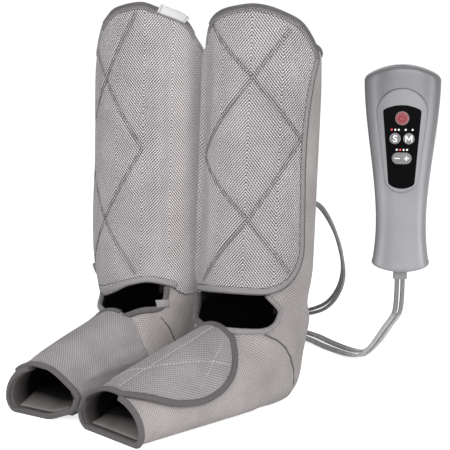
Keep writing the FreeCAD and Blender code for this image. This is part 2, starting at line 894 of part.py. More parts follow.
def key_switches():
    places = [(0.0, power_key_z), (-rocker_switch_x, rocker_z), (rocker_switch_x, rocker_z)]
    places.extend(letter_keys)
    half = switch_size / 2
    switches = []
    for x, z in places:
        base = block(x - half, x + half, -board_front - switch_height, -board_front, z - half, z + half)
        plunger = rod(plunger_radius, V(x, -plunger_front, z), plunger_height, plunger_sides)
        switches.append(base.fuse(plunger))
    return Part.makeCompound(switches)


motor_low = pump_low + pump_head_height
motor_high = motor_low + motor_length


def pump_motor():
    can = rod(motor_radius, V(0, pump_y, motor_low), motor_length, pump_sides, True)
    room = rod(motor_radius - motor_wall, V(0, pump_y, motor_low + motor_wall),
               motor_length - 2 * motor_wall, pump_sides, True)
    bore = disc(shaft_radius + shaft_clear, V(0, pump_y, motor_low), motor_length, UP)
    return can.cut(room).cut(bore)


def motor_rotor():
    eccentric_high = motor_low - eccentric_rest
    shaft_low = eccentric_high - eccentric_height
    shaft = rod(shaft_radius, V(0, pump_y, shaft_low), motor_high - shaft_low, shaft_sides, True)
    middle = (motor_low + motor_high - armature_length) / 2
    armature = rod(armature_radius, V(0, pump_y, middle), armature_length, pump_sides, True)
    eccentric = rod(eccentric_radius, V(eccentric_offset, pump_y, shaft_low), eccentric_height, socket_sides,
                    True)
    return shaft.fuse(armature).fuse(eccentric)


def pump_head():
    body = rod(pump_head_radius, V(0, pump_y, pump_low), pump_head_height, pump_sides, True)
    room = rod(crank_room_radius, V(0, pump_y, motor_low - crank_room_height), crank_room_height, pump_sides,
               True)
    return body.cut(room)


def hose_socket():
    body = block(-socket_block_half_width, socket_block_half_width, -socket_block_half_depth,
                 socket_block_half_depth, socket_block_low, socket_block_high)
    sleeve_tube = rod(socket_sleeve_radius, ORIGIN, socket_block_low, socket_sides, True)
    bore = rod(socket_bore_radius, ORIGIN, socket_bore_depth, socket_sides, True)
    return body.fuse(sleeve_tube).cut(bore)


def air_valves():
    valves = []
    for x in (-valve_x, valve_x):
        body = block(x - valve_width / 2, x + valve_width / 2, -valve_depth / 2, valve_depth / 2,
                     socket_block_high, socket_block_high + valve_height)
        valves.append(body)
    return Part.makeCompound(valves)


def power_inlet():
    z = (jack_low + jack_high) / 2
    body = block(-jack_half_width, jack_half_width, jack_body_front, jack_body_back, jack_low, jack_high)
    nose = rod(jack_nose_radius, V(0, jack_body_back, z), FAR, jack_sides).common(handset_outside())
    bore = disc(jack_bore_radius, V(0, bottom_half_depth - jack_bore_depth, z), FAR, V(0, 1, 0))
    return body.fuse(nose).cut(bore)


def hose_plug():
    half = plug_collar_half
    low = -plug_gap - plug_collar_height
    collar = block(-half, half, -half, half, low, -plug_gap)
    upright = [edge for edge in collar.Edges if abs(edge.tangentAt(edge.FirstParameter).z) > 0.9]
    collar = collar.makeFillet(plug_collar_corner, upright)
    barrel = rod(plug_barrel_radius, V(0, 0, -plug_gap), plug_barrel_length, socket_sides, True)
    return collar.fuse(barrel)


def place_handset(shape):
    shape.rotate(ORIGIN, UP, handset_yaw)
    shape.translate(V(handset_x, handset_y, handset_z))
    return shape


def place_wrap(shape, side):
    placed = shape.copy() if side == left_side else shape.mirror(ORIGIN, V(1, 0, 0))
    placed.rotate(ORIGIN, UP, -toe_in * side)
    placed.translate(V(wrap_half_spacing * side, 0, 0))
    return placed


# Hoses: straight runs joined by tangent arcs

def point_of(shape):
    return shape.Vertexes[0].Point


def hose_ends(side, row):
    # Where one hose leaves the plug and where it enters the grommet, with the way out of each.
    half = hose_pitch / 2
    plug_low = -plug_gap - plug_collar_height
    plug_row = -half if side == left_side else half
    plug_end = place_handset(Part.Vertex(row * half, plug_row, plug_low))
    face = calf_radius + tape_seat + grommet_nose_length
    spots = []
    for reach in (0.0, hose_lead):
        spot = lean(Part.Vertex(row * half, face + reach, grommet_height))
        spots.append(point_of(place_wrap(spot, side)))
    return point_of(plug_end), spots[0], spots[1]


def hose_points(side, route, row, drop):
    start, finish, lead = hose_ends(side, row)
    points = [start, V(start.x, start.y, start.z - drop)]
    middle = [V(*place) for place in route]
    ends = [V(handset_x, handset_y, 0)] + middle + [lead]
    before = None
    for spot in range(1, len(middle) + 1):
        way = ends[spot + 1] - ends[spot - 1]
        across = V(-way.y, way.x, 0)
        across.normalize()
        if before is not None and across.dot(before) < 0:
            across = -across
        before = across
        points.append(ends[spot] - across * (row * hose_pitch / 2))
    points.append(lead)
    points.append(finish)
    return points


def hose_path(points):
    edges = []
    radii = []
    length = 0.0
    here = points[0]
    for spot in range(1, len(points) - 1):
        back = points[spot - 1] - points[spot]
        ahead = points[spot + 1] - points[spot]
        turn = pi - back.getAngle(ahead)
        setback = arc_share * min(back.Length, ahead.Length)
        radius = setback / tan(turn / 2)
        back.normalize()
        ahead.normalize()
        start = points[spot] + back * setback
        end = points[spot] + ahead * setback
        inward = back + ahead
        inward.normalize()
        middle = points[spot] + inward * (radius / cos(turn / 2) - radius)
        edges.append(line(here, start))
        edges.append(arc(start, middle, end))
        length += (start - here).Length + radius * turn
        radii.append(round(radius))
        here = end
    edges.append(line(here, points[-1]))
    length += (points[-1] - here).Length
    return Part.Wire(edges), radii, length


def hose(side, route, row, drop, name):
    points = hose_points(side, route, row, drop)
    path, radii, length = hose_path(points)
    corners = []
    for spot in range(hose_sides + 1):
        turn = 2 * pi * spot / hose_sides
        corners.append(points[0] + V(hose_radius * cos(turn), hose_radius * sin(turn), 0))
    shape = path.makePipeShell([Part.makePolygon(corners)], True, False)
    section = hose_sides / 2 * hose_radius ** 2 * sin(2 * pi / hose_sides)
    print(name, "length", round(length), "radii", radii, "volume share",
          round(shape.Volume / (section * length), 4))
    return shape


# Build all the pieces in the frame of the standing pair

nodes = {}
cords = set()
for side_name, side in (("left", left_side), ("right", right_side)):
    for name, make in (("calf_cover", calf_cover), ("calf_bladder", calf_bladder),
                       ("calf_lining", calf_lining), ("calf_flap", calf_flap),
                       ("calf_hook_strip", calf_hook_strip), ("calf_loop_patch", calf_loop_patch),
                       ("hose_grommet", hose_grommet)):
        nodes[side_name + "_" + name] = place_wrap(lean(make()), side)
    for name, make in (("foot_cover", foot_cover), ("foot_bladder", foot_bladder), ("insole", insole),
                       ("foot_flap", foot_flap), ("foot_hook_strip", foot_hook_strip),
                       ("foot_loop_patch", foot_loop_patch)):
        nodes[side_name + "_" + name] = place_wrap(make(), side)
nodes["woven_tag"] = place_wrap(lean(woven_tag()), right_side)

for name, make in (("front_shell", front_shell), ("rear_shell", rear_shell), ("key_panel", key_panel),
                   ("indicator_lenses", indicator_lenses), ("level_rocker", level_rocker),
                   ("circuit_board", circuit_board), ("key_switches", key_switches),
                   ("pump_motor", pump_motor), ("motor_rotor", motor_rotor), ("pump_head", pump_head),
                   ("hose_socket", hose_socket), ("air_valves", air_valves),
                   ("power_inlet", power_inlet), ("shell_screws", shell_screws)):
    nodes[name] = place_handset(make())
nodes["power_button"] = place_handset(round_key(0.0, power_key_z, power_key_radius))
nodes["s_key"] = place_handset(round_key(-letter_key_x, letter_key_z, letter_key_radius))
nodes["m_key"] = place_handset(round_key(letter_key_x, letter_key_z, letter_key_radius))

cords.add("hose_plug")
nodes["hose_plug"] = place_handset(hose_plug())
for side_name, side, route, drop in (("left", left_side, left_hose_route, left_hose_drop),
                                     ("right", right_side, right_hose_route, right_hose_drop)):
    for line_name, row in (("calf_hose", -1), ("foot_hose", 1)):
        name = side_name + "_" + line_name
        cords.add(name)
        nodes[name] = hose(side, route, row, drop, name)

# Put the origin under the middle of everything but the hoses

body_box = FreeCAD.BoundBox()
for name, shape in nodes.items():
    if name not in cords:
        body_box.add(shape.optimalBoundingBox(False, False))
shift = V(-body_box.Center.x, -body_box.Center.y, -body_box.ZMin)
print("shift", shift)

os.makedirs("parts", exist_ok=True)
for name, shape in nodes.items():
    shape.translate(shift)
    shape.exportStep("parts/" + name + ".step")


def report_axis(name, point, way):
    print("axis", name, [round(value, 3) for value in point + shift], [round(value, 5) for value in way])


for side_name, side in (("left", left_side), ("right", right_side)):
    turn = radians(hinge_angle)
    low = V(calf_radius * cos(turn), calf_radius * sin(turn), flap_bottom)
    high = V(low.x, low.y, front_rim_height)
    ends = [point_of(place_wrap(lean(Part.Vertex(spot)), side)) for spot in (low, high)]
    way = ends[1] - ends[0]
    way.normalize()
    report_axis(side_name + "_calf_flap", ends[0], way)
    seam = []
    for y in (foot_flap_back_y, toe_y):
        half_width, height = foot_size(y)
        share = (foot_seam_height - sole_corner) / (height + foot_flap_lift - sole_corner)
        x = foot_flap_x - (half_width + foot_flap_outer[0]) * sqrt(1 - share ** 2)
        seam.append(point_of(place_wrap(Part.Vertex(x, y, foot_seam_height), side)))
    way = seam[1] - seam[0]
    way.normalize()
    report_axis(side_name + "_foot_flap", seam[0], way)
face_way = point_of(place_handset(Part.Vertex(0, 1, 0))) - point_of(place_handset(Part.Vertex(0, 0, 0)))
for name, spot in (("power_button", V(0, -seat_front, power_key_z)),
                   ("s_key", V(-letter_key_x, -seat_front, letter_key_z)),
                   ("m_key", V(letter_key_x, -seat_front, letter_key_z)),
                   ("handset", ORIGIN), ("plug", V(0, 0, -plug_gap)),
                   ("level_rocker", V(0, -rocker_pivot, rocker_z)),
                   ("motor_rotor", V(0, pump_y, motor_low))):
    report_axis(name, point_of(place_handset(Part.Vertex(spot))), face_way)
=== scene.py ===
import bpy
import bmesh
import math
import numpy as np
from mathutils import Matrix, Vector


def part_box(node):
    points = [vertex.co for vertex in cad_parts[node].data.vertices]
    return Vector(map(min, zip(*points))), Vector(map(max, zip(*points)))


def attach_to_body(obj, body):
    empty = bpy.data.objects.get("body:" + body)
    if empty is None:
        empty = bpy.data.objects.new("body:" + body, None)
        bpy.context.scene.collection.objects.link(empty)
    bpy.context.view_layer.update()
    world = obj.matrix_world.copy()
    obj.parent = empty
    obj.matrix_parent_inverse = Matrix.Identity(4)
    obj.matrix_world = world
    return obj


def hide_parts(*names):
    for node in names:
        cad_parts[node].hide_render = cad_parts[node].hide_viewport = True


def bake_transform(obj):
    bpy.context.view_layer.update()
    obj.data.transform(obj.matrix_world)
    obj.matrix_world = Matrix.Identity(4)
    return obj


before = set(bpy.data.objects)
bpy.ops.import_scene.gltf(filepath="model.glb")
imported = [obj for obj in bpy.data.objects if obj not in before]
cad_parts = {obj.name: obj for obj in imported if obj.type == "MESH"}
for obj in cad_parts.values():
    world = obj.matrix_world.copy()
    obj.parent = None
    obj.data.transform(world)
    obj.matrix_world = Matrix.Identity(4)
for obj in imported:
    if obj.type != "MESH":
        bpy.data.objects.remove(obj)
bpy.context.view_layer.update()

scene = bpy.context.scene
mm = 0.001
print("frame loaded:", len(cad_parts), "nodes")

# where the standing pair and the controller sit; the plug stands under the controller's middle
pair = {"halfSpacing": 83.0, "toeIn": 6.9, "sides": {"left": 1, "right": -1}}
settled = {"toeLean": 5.5, "toeSlim": 0.07, "curl": 11.0, "innerEase": 0.85,  # the right boot's slack
           "pinch": 0.17, "pinchHeight": 88.0, "pinchSpread": 18.0,
           "crest": ((-242, 0.145), (-215, 0.05), (-194, 0.02), (-141, -0.05), (-100, -0.09), (-72, -0.06),
                     (-50, 0.0))}
controller = {"x": 281.0, "y": -66.0, "z": 175.8, "yaw": 30.4, "length": 197.0, "lean": 0.011}
plugLow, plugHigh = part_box("hose_plug")
shift = np.array([(plugLow[0] + plugHigh[0]) / 2 / mm - controller["x"],
                  (plugLow[1] + plugHigh[1]) / 2 / mm - controller["y"], 0.0])


def settle(points):  # the right foot lies lower at the ankle, its toes lean inwards and one corner curls up
    x, y, z = points[..., 0], points[..., 1], points[..., 2]
    inner = -x
    toe = 1 - smoothStep(-242, -100, y)
    share = stationAt(settled["crest"], y) * smoothStep(12, 60, z) * (1 - smoothStep(98, 116, z))
    ease = settled["innerEase"] * smoothStep(8, 36, inner) * smoothStep(-112, -90, y)
    share = np.where(share < 0, share * (1 - ease), share)
    curl = settled["curl"] * (1 - smoothStep(-242, -185, y)) * smoothStep(6, 46, inner)
    curl = curl * (1 - smoothStep(12, 44, z))
    x = np.minimum(x, x * (1 - settled["toeSlim"] * toe))
    pinch = settled["pinch"] * np.exp(-((z - settled["pinchHeight"]) / settled["pinchSpread"]) ** 2)
    pinch = pinch * smoothStep(0, 40, x) * (1 - smoothStep(-60, -20, y))
    return np.stack([x * (1 - pinch) - settled["toeLean"] * toe, y, z * (1 + share) + curl], axis=-1)


def turnFlat(x, y, degrees):  # turn about the upright axis
    c = math.cos(math.radians(degrees))
    s = math.sin(math.radians(degrees))
    return x * c - y * s, x * s + y * c


def placeWrap(points, side):  # boot millimetres to frame metres
    points = np.asarray(points, float)
    if side < 0:
        points = settle(points)
    x, y = turnFlat(points[..., 0] * side, points[..., 1], -pair["toeIn"] * side)
    return (np.stack([x + pair["halfSpacing"] * side, y, points[..., 2]], axis=-1) + shift) * mm


def placeController(points):  # upright controller millimetres to frame metres
    points = np.asarray(points, float)
    x = points[..., 0] - controller["lean"] * np.maximum(points[..., 2], 0)
    x, y = turnFlat(x, points[..., 1], controller["yaw"])
    placed = np.stack([x + controller["x"], y + controller["y"], points[..., 2] + controller["z"]], axis=-1)
    return (placed + shift) * mm


def smoothStep(low, high, value):
    share = np.clip((np.asarray(value, float) - low) / (high - low), 0.0, 1.0)
    return share * share * (3 - 2 * share)


def through(stations, value):  # smooth curve through (place, size) stations
    places = np.array([s[0] for s in stations], float)
    sizes = np.array([s[1] for s in stations], float)
    slopes = np.gradient(sizes, places)
    value = np.clip(np.asarray(value, float), places[0], places[-1])
    spot = np.clip(np.searchsorted(places, value, side="right") - 1, 0, len(places) - 2)
    span = places[spot + 1] - places[spot]
    t = (value - places[spot]) / span
    return (sizes[spot] * (2 * t ** 3 - 3 * t ** 2 + 1) + sizes[spot + 1] * (3 * t ** 2 - 2 * t ** 3)
            + span * (slopes[spot] * (t ** 3 - 2 * t ** 2 + t) + slopes[spot + 1] * (t ** 3 - t ** 2)))


def stationAt(stations, value):  # straight runs between (place, size) stations
    return np.interp(value, *np.transpose(stations))


# camera at the photograph's place, 98 mm lens on a square 36 mm frame
view = {"place": (0.7954, -0.98838, 0.42911), "azimuth": 38.6, "down": 10.16, "lens": 98.24, "sensor": 36.0}
cameraData = bpy.data.cameras.new("viewCamera")
cameraData.lens = view["lens"]
cameraData.sensor_width = view["sensor"]
camera = bpy.data.objects.new("viewCamera", cameraData)
camera.location = view["place"]
camera.rotation_euler = (math.radians(90 - view["down"]), 0, math.radians(view["azimuth"]))
scene.collection.objects.link(camera)
scene.camera = camera


# materials

def linear(r, g, b):  # eight-bit display colour to scene colour
    out = []
    for c in (r, g, b):
        c = c / 255
        out.append(c / 12.92 if c <= 0.04045 else ((c + 0.055) / 1.055) ** 2.4)
    return (out[0], out[1], out[2], 1.0)


def fillInputs(tree, node, inputs):  # links a socket, or sets a plain value
    for key, value in inputs.items():
        if isinstance(value, bpy.types.NodeSocket):
            tree.links.new(value, node.inputs[key])
        else:
            node.inputs[key].default_value = value


def addNode(tree, kind, inputs=None, **settings):
    node = tree.nodes.new(kind)
    for key, value in settings.items():
        setattr(node, key, value)
    fillInputs(tree, node, inputs or {})
    return node


def calc(tree, operation, a, b=0.0, c=0.0):
    return addNode(tree, "ShaderNodeMath", {0: a, 1: b, 2: c}, operation=operation).outputs[0]


def mixTones(tree, share, a, b):  # two display colours, or a socket and one
    a = a if isinstance(a, bpy.types.NodeSocket) else linear(*a)
    return addNode(tree, "ShaderNodeMix", {0: share, 6: a, 7: linear(*b)}, data_type="RGBA").outputs[2]


def newMaterial(name):  # material, its tree and shader, and the object's own coordinates
    material = bpy.data.materials.new(name)
    material.use_nodes = True
    tree = material.node_tree
    where = addNode(tree, "ShaderNodeTexCoord").outputs["Object"]
    return material, tree, tree.nodes["Principled BSDF"], where


def axes(tree, vector):
    return addNode(tree, "ShaderNodeSeparateXYZ", {0: vector}).outputs


def finishSurface(tree, shader, colour, rough, height, strength, distance, plain=None):
    bump = addNode(tree, "ShaderNodeBump", {"Strength": strength, "Distance": distance, "Height": height})
    fillInputs(tree, shader, {"Base Color": colour, "Roughness": rough, "Normal": bump.outputs[0]})
    fillInputs(tree, shader, plain or {})


def noise(tree, where, scale, detail=2.0):
    return addNode(tree, "ShaderNodeTexNoise", {"Vector": where, "Scale": scale, "Detail": detail}).outputs[0]


def waver(tree, tone, pattern, swing):  # lets a pattern lighten and darken a tone
    return calc(tree, "ADD", tone, calc(tree, "MULTIPLY_ADD", pattern, swing, -swing / 2))


herringbone = {"stripe": 0.0335, "line": 0.0024, "dash": 0.0034, "slope": 0.86, "slopeRun": 1.32,
               "stagger": 2.4, "dark": (50, 47, 49), "light": (218, 213, 214), "bump": 0.6,
               "grooveShade": 0.2}


def herringboneMesh(name):  # spacer mesh: slanting dashes that turn back at every stripe
    material, tree, shader, where = newMaterial(name)
    parts = axes(tree, addNode(tree, "ShaderNodeUVMap").outputs[0])
    line = herringbone["line"] * herringbone["slopeRun"]
    dashRun = herringbone["dash"] * herringbone["slopeRun"]
    across = calc(tree, "PINGPONG", parts[0], herringbone["stripe"])
    slant = calc(tree, "ADD", across, calc(tree, "MULTIPLY", parts[1], herringbone["slope"]))
    along = calc(tree, "SUBTRACT", calc(tree, "MULTIPLY", across, herringbone["slope"]), parts[1])
    wave = calc(tree, "SINE", calc(tree, "MULTIPLY", slant, 2 * math.pi / line))
    row = calc(tree, "FLOOR", calc(tree, "DIVIDE", slant, line))
    stagger = calc(tree, "ADD", calc(tree, "MULTIPLY", along, 2 * math.pi / dashRun),
                   calc(tree, "MULTIPLY", row, herringbone["stagger"]))
    dash = calc(tree, "SINE", stagger)
    thread = calc(tree, "MULTIPLY_ADD", wave, 0.44, calc(tree, "MULTIPLY_ADD", dash, 0.16, 0.5))
    tone = waver(tree, thread, noise(tree, where, 28.0, 3.0), 0.3)
    tone = waver(tree, tone, noise(tree, where, 700.0, 1.0), 0.3)
    groove = addNode(tree, "ShaderNodeAttribute", attribute_name="groove").outputs["Fac"]  # 1 on a sewn line; the groove's painted shade darkens the mesh there
    shade = calc(tree, "MULTIPLY_ADD", groove, -herringbone["grooveShade"], 1.0)
    colour = mixTones(tree, calc(tree, "MULTIPLY", tone, shade), herringbone["dark"], herringbone["light"])
    rough = calc(tree, "MULTIPLY_ADD", thread, -0.12, 0.9)
    finishSurface(tree, shader, colour, rough, thread, herringbone["bump"], 0.0008,
                  {"Sheen Weight": 0.15, "Specular IOR Level": 0.25})
    return material


def wovenCloth(name, dark, light, pitch, strength, sheen=0.1):  # plain weave of two crossing threads
    material, tree, shader, where = newMaterial(name)
    parts = axes(tree, addNode(tree, "ShaderNodeUVMap").outputs[0])
    warp, weft = [calc(tree, "SINE", calc(tree, "MULTIPLY", parts[k], 2 * math.pi / pitch)) for k in (0, 1)]
    weave = calc(tree, "MULTIPLY_ADD", calc(tree, "MULTIPLY", warp, weft), 0.4, 0.5)
    fuzz = noise(tree, where, 700.0, 1.0)
    tone = waver(tree, waver(tree, weave, noise(tree, where, 24.0, 3.0), 0.5), fuzz, 0.4)
    colour = mixTones(tree, tone, dark, light)
    rough = calc(tree, "MULTIPLY_ADD", weave, -0.1, 0.92)
    finishSurface(tree, shader, colour, rough, calc(tree, "ADD", weave, fuzz), strength, 0.0006,
                  {"Sheen Weight": sheen, "Specular IOR Level": 0.25})
    return material


def moulded(name, colour, change, rough, grain, strength, metal=0.0, gloss=0.5):  # grained plastic or metal
    material, tree, shader, where = newMaterial(name)
    fine = noise(tree, where, grain, 2.0)
    shade = mixTones(tree, noise(tree, where, 60.0, 2.0), colour, change)
    worn = calc(tree, "MULTIPLY_ADD", fine, 0.16, rough - 0.08)
    finishSurface(tree, shader, shade, worn, fine, strength, 0.0003,
                  {"Metallic": metal, "Specular IOR Level": gloss})
    return material


def hoseVinyl(name):  # milky tube with a glossy skin
    material, tree, shader, where = newMaterial(name)
    cloud = noise(tree, where, 90.0, 2.0)
    colour = mixTones(tree, cloud, (98, 97, 99), (126, 125, 126))
    rough = calc(tree, "MULTIPLY_ADD", cloud, 0.1, 0.22)
    finishSurface(tree, shader, colour, rough, cloud, 0.05, 0.0004, {"Coat Weight": 0.2})
    return material


def tunnelClothPaintedShade(name, dark, light, deep):  # inside of the foot: grey at the toe end, then painted shade, darker further in
    material, tree, shader, where = newMaterial(name)
    depth = axes(tree, where)[1]
    share = addNode(tree, "ShaderNodeMapRange", {0: depth, 1: -0.142, 2: -0.114, 3: 0.0, 4: 1.0}).outputs[0]
    grey = mixTones(tree, noise(tree, where, 60.0, 2.0), dark, light)
    # painted shade: mixed towards the deep tone further into the foot
    colour = mixTones(tree, share, grey, deep)
    fuzz = noise(tree, where, 800.0, 1.0)
    finishSurface(tree, shader, colour, 0.95, fuzz, 0.3, 0.0005, {"Specular IOR Level": 0.1})
    return material


def satinSilver(name):  # lacquered plastic with fine metal flake, and painted shade towards the top
    material, tree, shader, where = newMaterial(name)
    flake = noise(tree, where, 2600.0, 1.0)
    cloud = calc(tree, "MULTIPLY", noise(tree, where, 40.0, 2.0), 0.4)
    colour = mixTones(tree, calc(tree, "MULTIPLY_ADD", flake, 0.6, cloud), (116, 115, 118), (148, 147, 151))
    height = axes(tree, where)[2]
    upper = addNode(tree, "ShaderNodeMapRange", {0: height, 1: 0.25, 2: 0.365, 3: 0.0, 4: 1.0}).outputs[0]
    colour = mixTones(tree, upper, colour, (108, 107, 110))  # painted shade: a little darker towards the top, where the top is less lit
    rough = calc(tree, "MULTIPLY_ADD", flake, 0.12, 0.38)
    finishSurface(tree, shader, colour, rough, flake, 0.05, 0.0002, {"Metallic": 0.8})
    return material


def lampLens(name, glow, strength):
    material, tree, shader, where = newMaterial(name)
    cloud = noise(tree, where, 500.0, 1.0)
    colour = mixTones(tree, cloud, glow, [min(255, c + 30) for c in glow])
    finishSurface(tree, shader, colour, 0.25, cloud, 0.05, 0.0002,
                  {"Emission Color": linear(*glow), "Emission Strength": strength})
    return material


finish = {
    "mesh": herringboneMesh("herringboneMesh"),
    "cover": wovenCloth("coverCloth", (104, 99, 99), (200, 194, 193), 0.003, 0.5),
    "footSide": wovenCloth("footSideCloth", (92, 88, 90), (184, 179, 181), 0.003, 0.5),
    # binding tape in two tones of one cloth; the darker copy is painted shade on the left rim, the inner slit
    # edges and the flap tops
    "binding": wovenCloth("bindingTape", (122, 118, 119), (164, 160, 161), 0.0014, 0.4),
    "darkAndShadedBinding": wovenCloth("darkAndShadedBindingTape", (78, 75, 77), (112, 108, 109), 0.0014, 0.4),
    # inside and insole: their deep tones are painted shade further into the foot
    "inside": tunnelClothPaintedShade("insideClothPaintedShade", (92, 88, 87), (112, 107, 106), (11, 9, 9)),
    "lining": wovenCloth("liningCloth", (14, 12, 12), (28, 25, 26), 0.0016, 0.3, 0.0),
    "insole": tunnelClothPaintedShade("insoleClothPaintedShade", (132, 127, 125), (162, 157, 154), (18, 16, 16)),
    "hook": wovenCloth("hookTape", (52, 50, 52), (84, 82, 84), 0.0012, 0.9),
    "loop": wovenCloth("loopTape", (98, 96, 98), (140, 138, 139), 0.0011, 0.8, 0.3),
    "tag": wovenCloth("tagCloth", (196, 195, 195), (224, 223, 223), 0.0008, 0.25),
    "thread": moulded("stitchThread", (52, 50, 52), (78, 76, 78), 0.8, 900.0, 0.2),
    "lightThread": moulded("lightThread", (186, 180, 180), (206, 200, 200), 0.8, 900.0, 0.2),
    "rubber": moulded("grommetRubber", (62, 61, 63), (78, 77, 79), 0.6, 500.0, 0.2),
    "vinyl": hoseVinyl("hoseVinyl"),
    "silver": satinSilver("satinSilver"),
    "panel": moulded("panelBlack", (3, 3, 4), (7, 7, 8), 0.5, 400.0, 0.03, gloss=0.03),
    "keyGrey": moulded("keyGrey", (112, 111, 113), (128, 127, 129), 0.5, 600.0, 0.08, gloss=0.2),
    "keyRed": moulded("keyRed", (134, 70, 73), (148, 82, 85), 0.5, 600.0, 0.06, gloss=0.2),
    "markRed": moulded("markRed", (112, 30, 34), (122, 36, 40), 0.5, 600.0, 0.04, gloss=0.2),
    "ringGrey": moulded("ringGrey", (134, 112, 112), (148, 124, 124), 0.5, 600.0, 0.06, gloss=0.2),
    "print": moulded("signWhite", (226, 226, 226), (240, 240, 240), 0.5, 800.0, 0.03),
    "lensOn": lampLens("lensLit", (214, 62, 66), 0.4),
    # painted light: the unlit lenses glow a little, with no lamp behind them
    "lensOff": lampLens("lensDim", (222, 219, 219), 0.2),
    "board": moulded("boardGreen", (24, 84, 52), (32, 98, 62), 0.45, 500.0, 0.1),
    "switch": moulded("switchBlack", (24, 24, 25), (34, 34, 35), 0.5, 500.0, 0.1),
    "motor": moulded("motorSteel", (150, 152, 155), (172, 174, 177), 0.32, 700.0, 0.1, metal=0.9),
    "pump": moulded("pumpPlastic", (206, 206, 202), (218, 218, 214), 0.45, 500.0, 0.08),
    "screw": moulded("screwSteel", (120, 122, 125), (150, 152, 155), 0.35, 700.0, 0.1, metal=0.9),
    "plug": moulded("plugGrey", (122, 121, 123), (140, 139, 141), 0.5, 600.0, 0.1),
    "seam": moulded("seamShadow", (84, 82, 83), (104, 102, 103), 0.85, 600.0, 0.2),
}
print("finishes:", len(finish))


# mesh helpers

def makeObject(name, mesh, *materials):
    obj = bpy.data.objects.new(name, mesh)
    scene.collection.objects.link(obj)
    for material in materials:
        mesh.materials.append(material)
    return obj


def meshFrom(name, points, faces, uvs=None, smooth=True):
    mesh = bpy.data.meshes.new(name)
    mesh.from_pydata([tuple(p) for p in points], [], [tuple(f) for f in faces])
    if uvs is not None:
        layer = mesh.uv_layers.new(name="UVMap")
        corners = np.zeros(len(mesh.loops), dtype=np.int32)
        mesh.loops.foreach_get("vertex_index", corners)
        layer.data.foreach_set("uv", np.asarray(uvs, np.float32)[corners].ravel())
    mesh.polygons.foreach_set("use_smooth", [smooth] * len(mesh.polygons))
    mesh.update()
    return mesh


def gridFaces(rows, columns):
    faces = []
    for r in range(rows - 1):
        for c in range(columns - 1):
            a = r * columns + c
            faces.append((a, a + 1, a + columns + 1, a + columns))
    return faces


def tubeFaces(rings, around):  # faces between closed rings of points
    faces = []
    for k in range(rings - 1):
        for i in range(around):
            j = (i + 1) % around
            faces.append((k * around + i, k * around + j, (k + 1) * around + j, (k + 1) * around + i))
    return faces


def flip(faces):
    return [tuple(reversed(f)) for f in faces]


def unit(vectors):
    return vectors / np.maximum(np.linalg.norm(vectors, axis=-1, keepdims=True), 1e-12)


def runLength(path):  # distance along a line, at each of its points
    return np.concatenate([[0.0], np.cumsum(np.linalg.norm(np.diff(path, axis=0), axis=1))])


def vertexNormals(points, faces):
    points = np.asarray(points)
    normals = np.zeros_like(points)
    a, b, c, d = np.asarray(faces).T
    cross = np.cross(points[c] - points[a], points[d] - points[b])
    for corner in (a, b, c, d):
        np.add.at(normals, corner, cross)
    return unit(normals)


def facePointsOut(points, faces, middle):  # turns a sheet so that its faces look away from a line of middles
    inwards = np.sum(vertexNormals(points, faces) * (np.asarray(points) - middle)) < 0
    return flip(faces) if inwards else faces


def closeSheet(points, faces, uvs, thick):  # gives an outer sheet an inner face and walls round its edge
    points = np.asarray(points)
    count = len(points)
    inner = points - vertexNormals(points, faces) * np.reshape(thick, (-1, 1))
    closed = list(faces) + [tuple(count + k for k in f) for f in flip(faces)]
    seen = {}
    for f in faces:
        for k in range(4):
            edge = (f[k], f[(k + 1) % 4])
            seen[tuple(sorted(edge))] = None if tuple(sorted(edge)) in seen else edge
    for edge in seen.values():
        if edge is not None:
            closed.append((edge[1], edge[0], count + edge[0], count + edge[1]))
    return np.vstack([points, inner]), closed, np.vstack([uvs, uvs])


def bake(obj):  # the evaluated mesh takes the place of mesh and modifiers
    depsgraph = bpy.context.evaluated_depsgraph_get()
    mesh = bpy.data.meshes.new_from_object(obj.evaluated_get(depsgraph), depsgraph=depsgraph)
    obj.modifiers.clear()
    obj.data = mesh
    return obj


def subdivide(obj):
    mod = obj.modifiers.new("smooth", "SUBSURF")
    mod.levels = 1
    mod.render_levels = 1
    return bake(obj)


def attach(obj, body, slotName, *nodes):  # the body it rides on and the nodes it stands for; the finish slot is not used
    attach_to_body(obj, body)
    if nodes:
        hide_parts(*nodes)


def band(name, path, out, width, height, material, segments=10):  # flattened tape along a line
    path = np.asarray(path, float)
    out = np.asarray(out, float)
    way = unit(np.gradient(path, axis=0))
    out = unit(out - way * np.sum(out * way, axis=1, keepdims=True))
    across = np.cross(way, out)
    width = np.broadcast_to(width, len(path))
    length = runLength(path)
    points = []
    uvs = []
    for k in range(segments):
        turn = 2 * math.pi * k / segments
        c = math.copysign(abs(math.cos(turn)) ** 0.6, math.cos(turn))
        s = math.copysign(abs(math.sin(turn)) ** 0.8, math.sin(turn))
        points.append(path + across * (c * width / 2)[:, None] + out * (s * height / 2))
        uvs.append(np.stack([length, turn * width / 3], axis=1))
    count = len(path)
    faces = []
    for k in range(segments):
        nxt = (k + 1) % segments
        for i in range(count - 1):
            faces.append((k * count + i, nxt * count + i, nxt * count + i + 1, k * count + i + 1))
    faces.append(tuple(k * count for k in reversed(range(segments))))
    faces.append(tuple(k * count + count - 1 for k in range(segments)))
    mesh = meshFrom(name, np.vstack(points), faces, np.vstack(uvs))
    work = bmesh.new()
    work.from_mesh(mesh)
    bmesh.ops.recalc_face_normals(work, faces=work.faces)
    work.to_mesh(mesh)
    work.free()
    return makeObject(name, mesh, material)


def resample(path, step):
    path = np.asarray(path, float)
    length = runLength(path)
    count = max(3, int(length[-1] / step) + 1)
    places = np.linspace(0, length[-1], count)
    return np.stack([np.interp(places, length, path[:, k]) for k in range(path.shape[1])], axis=1)


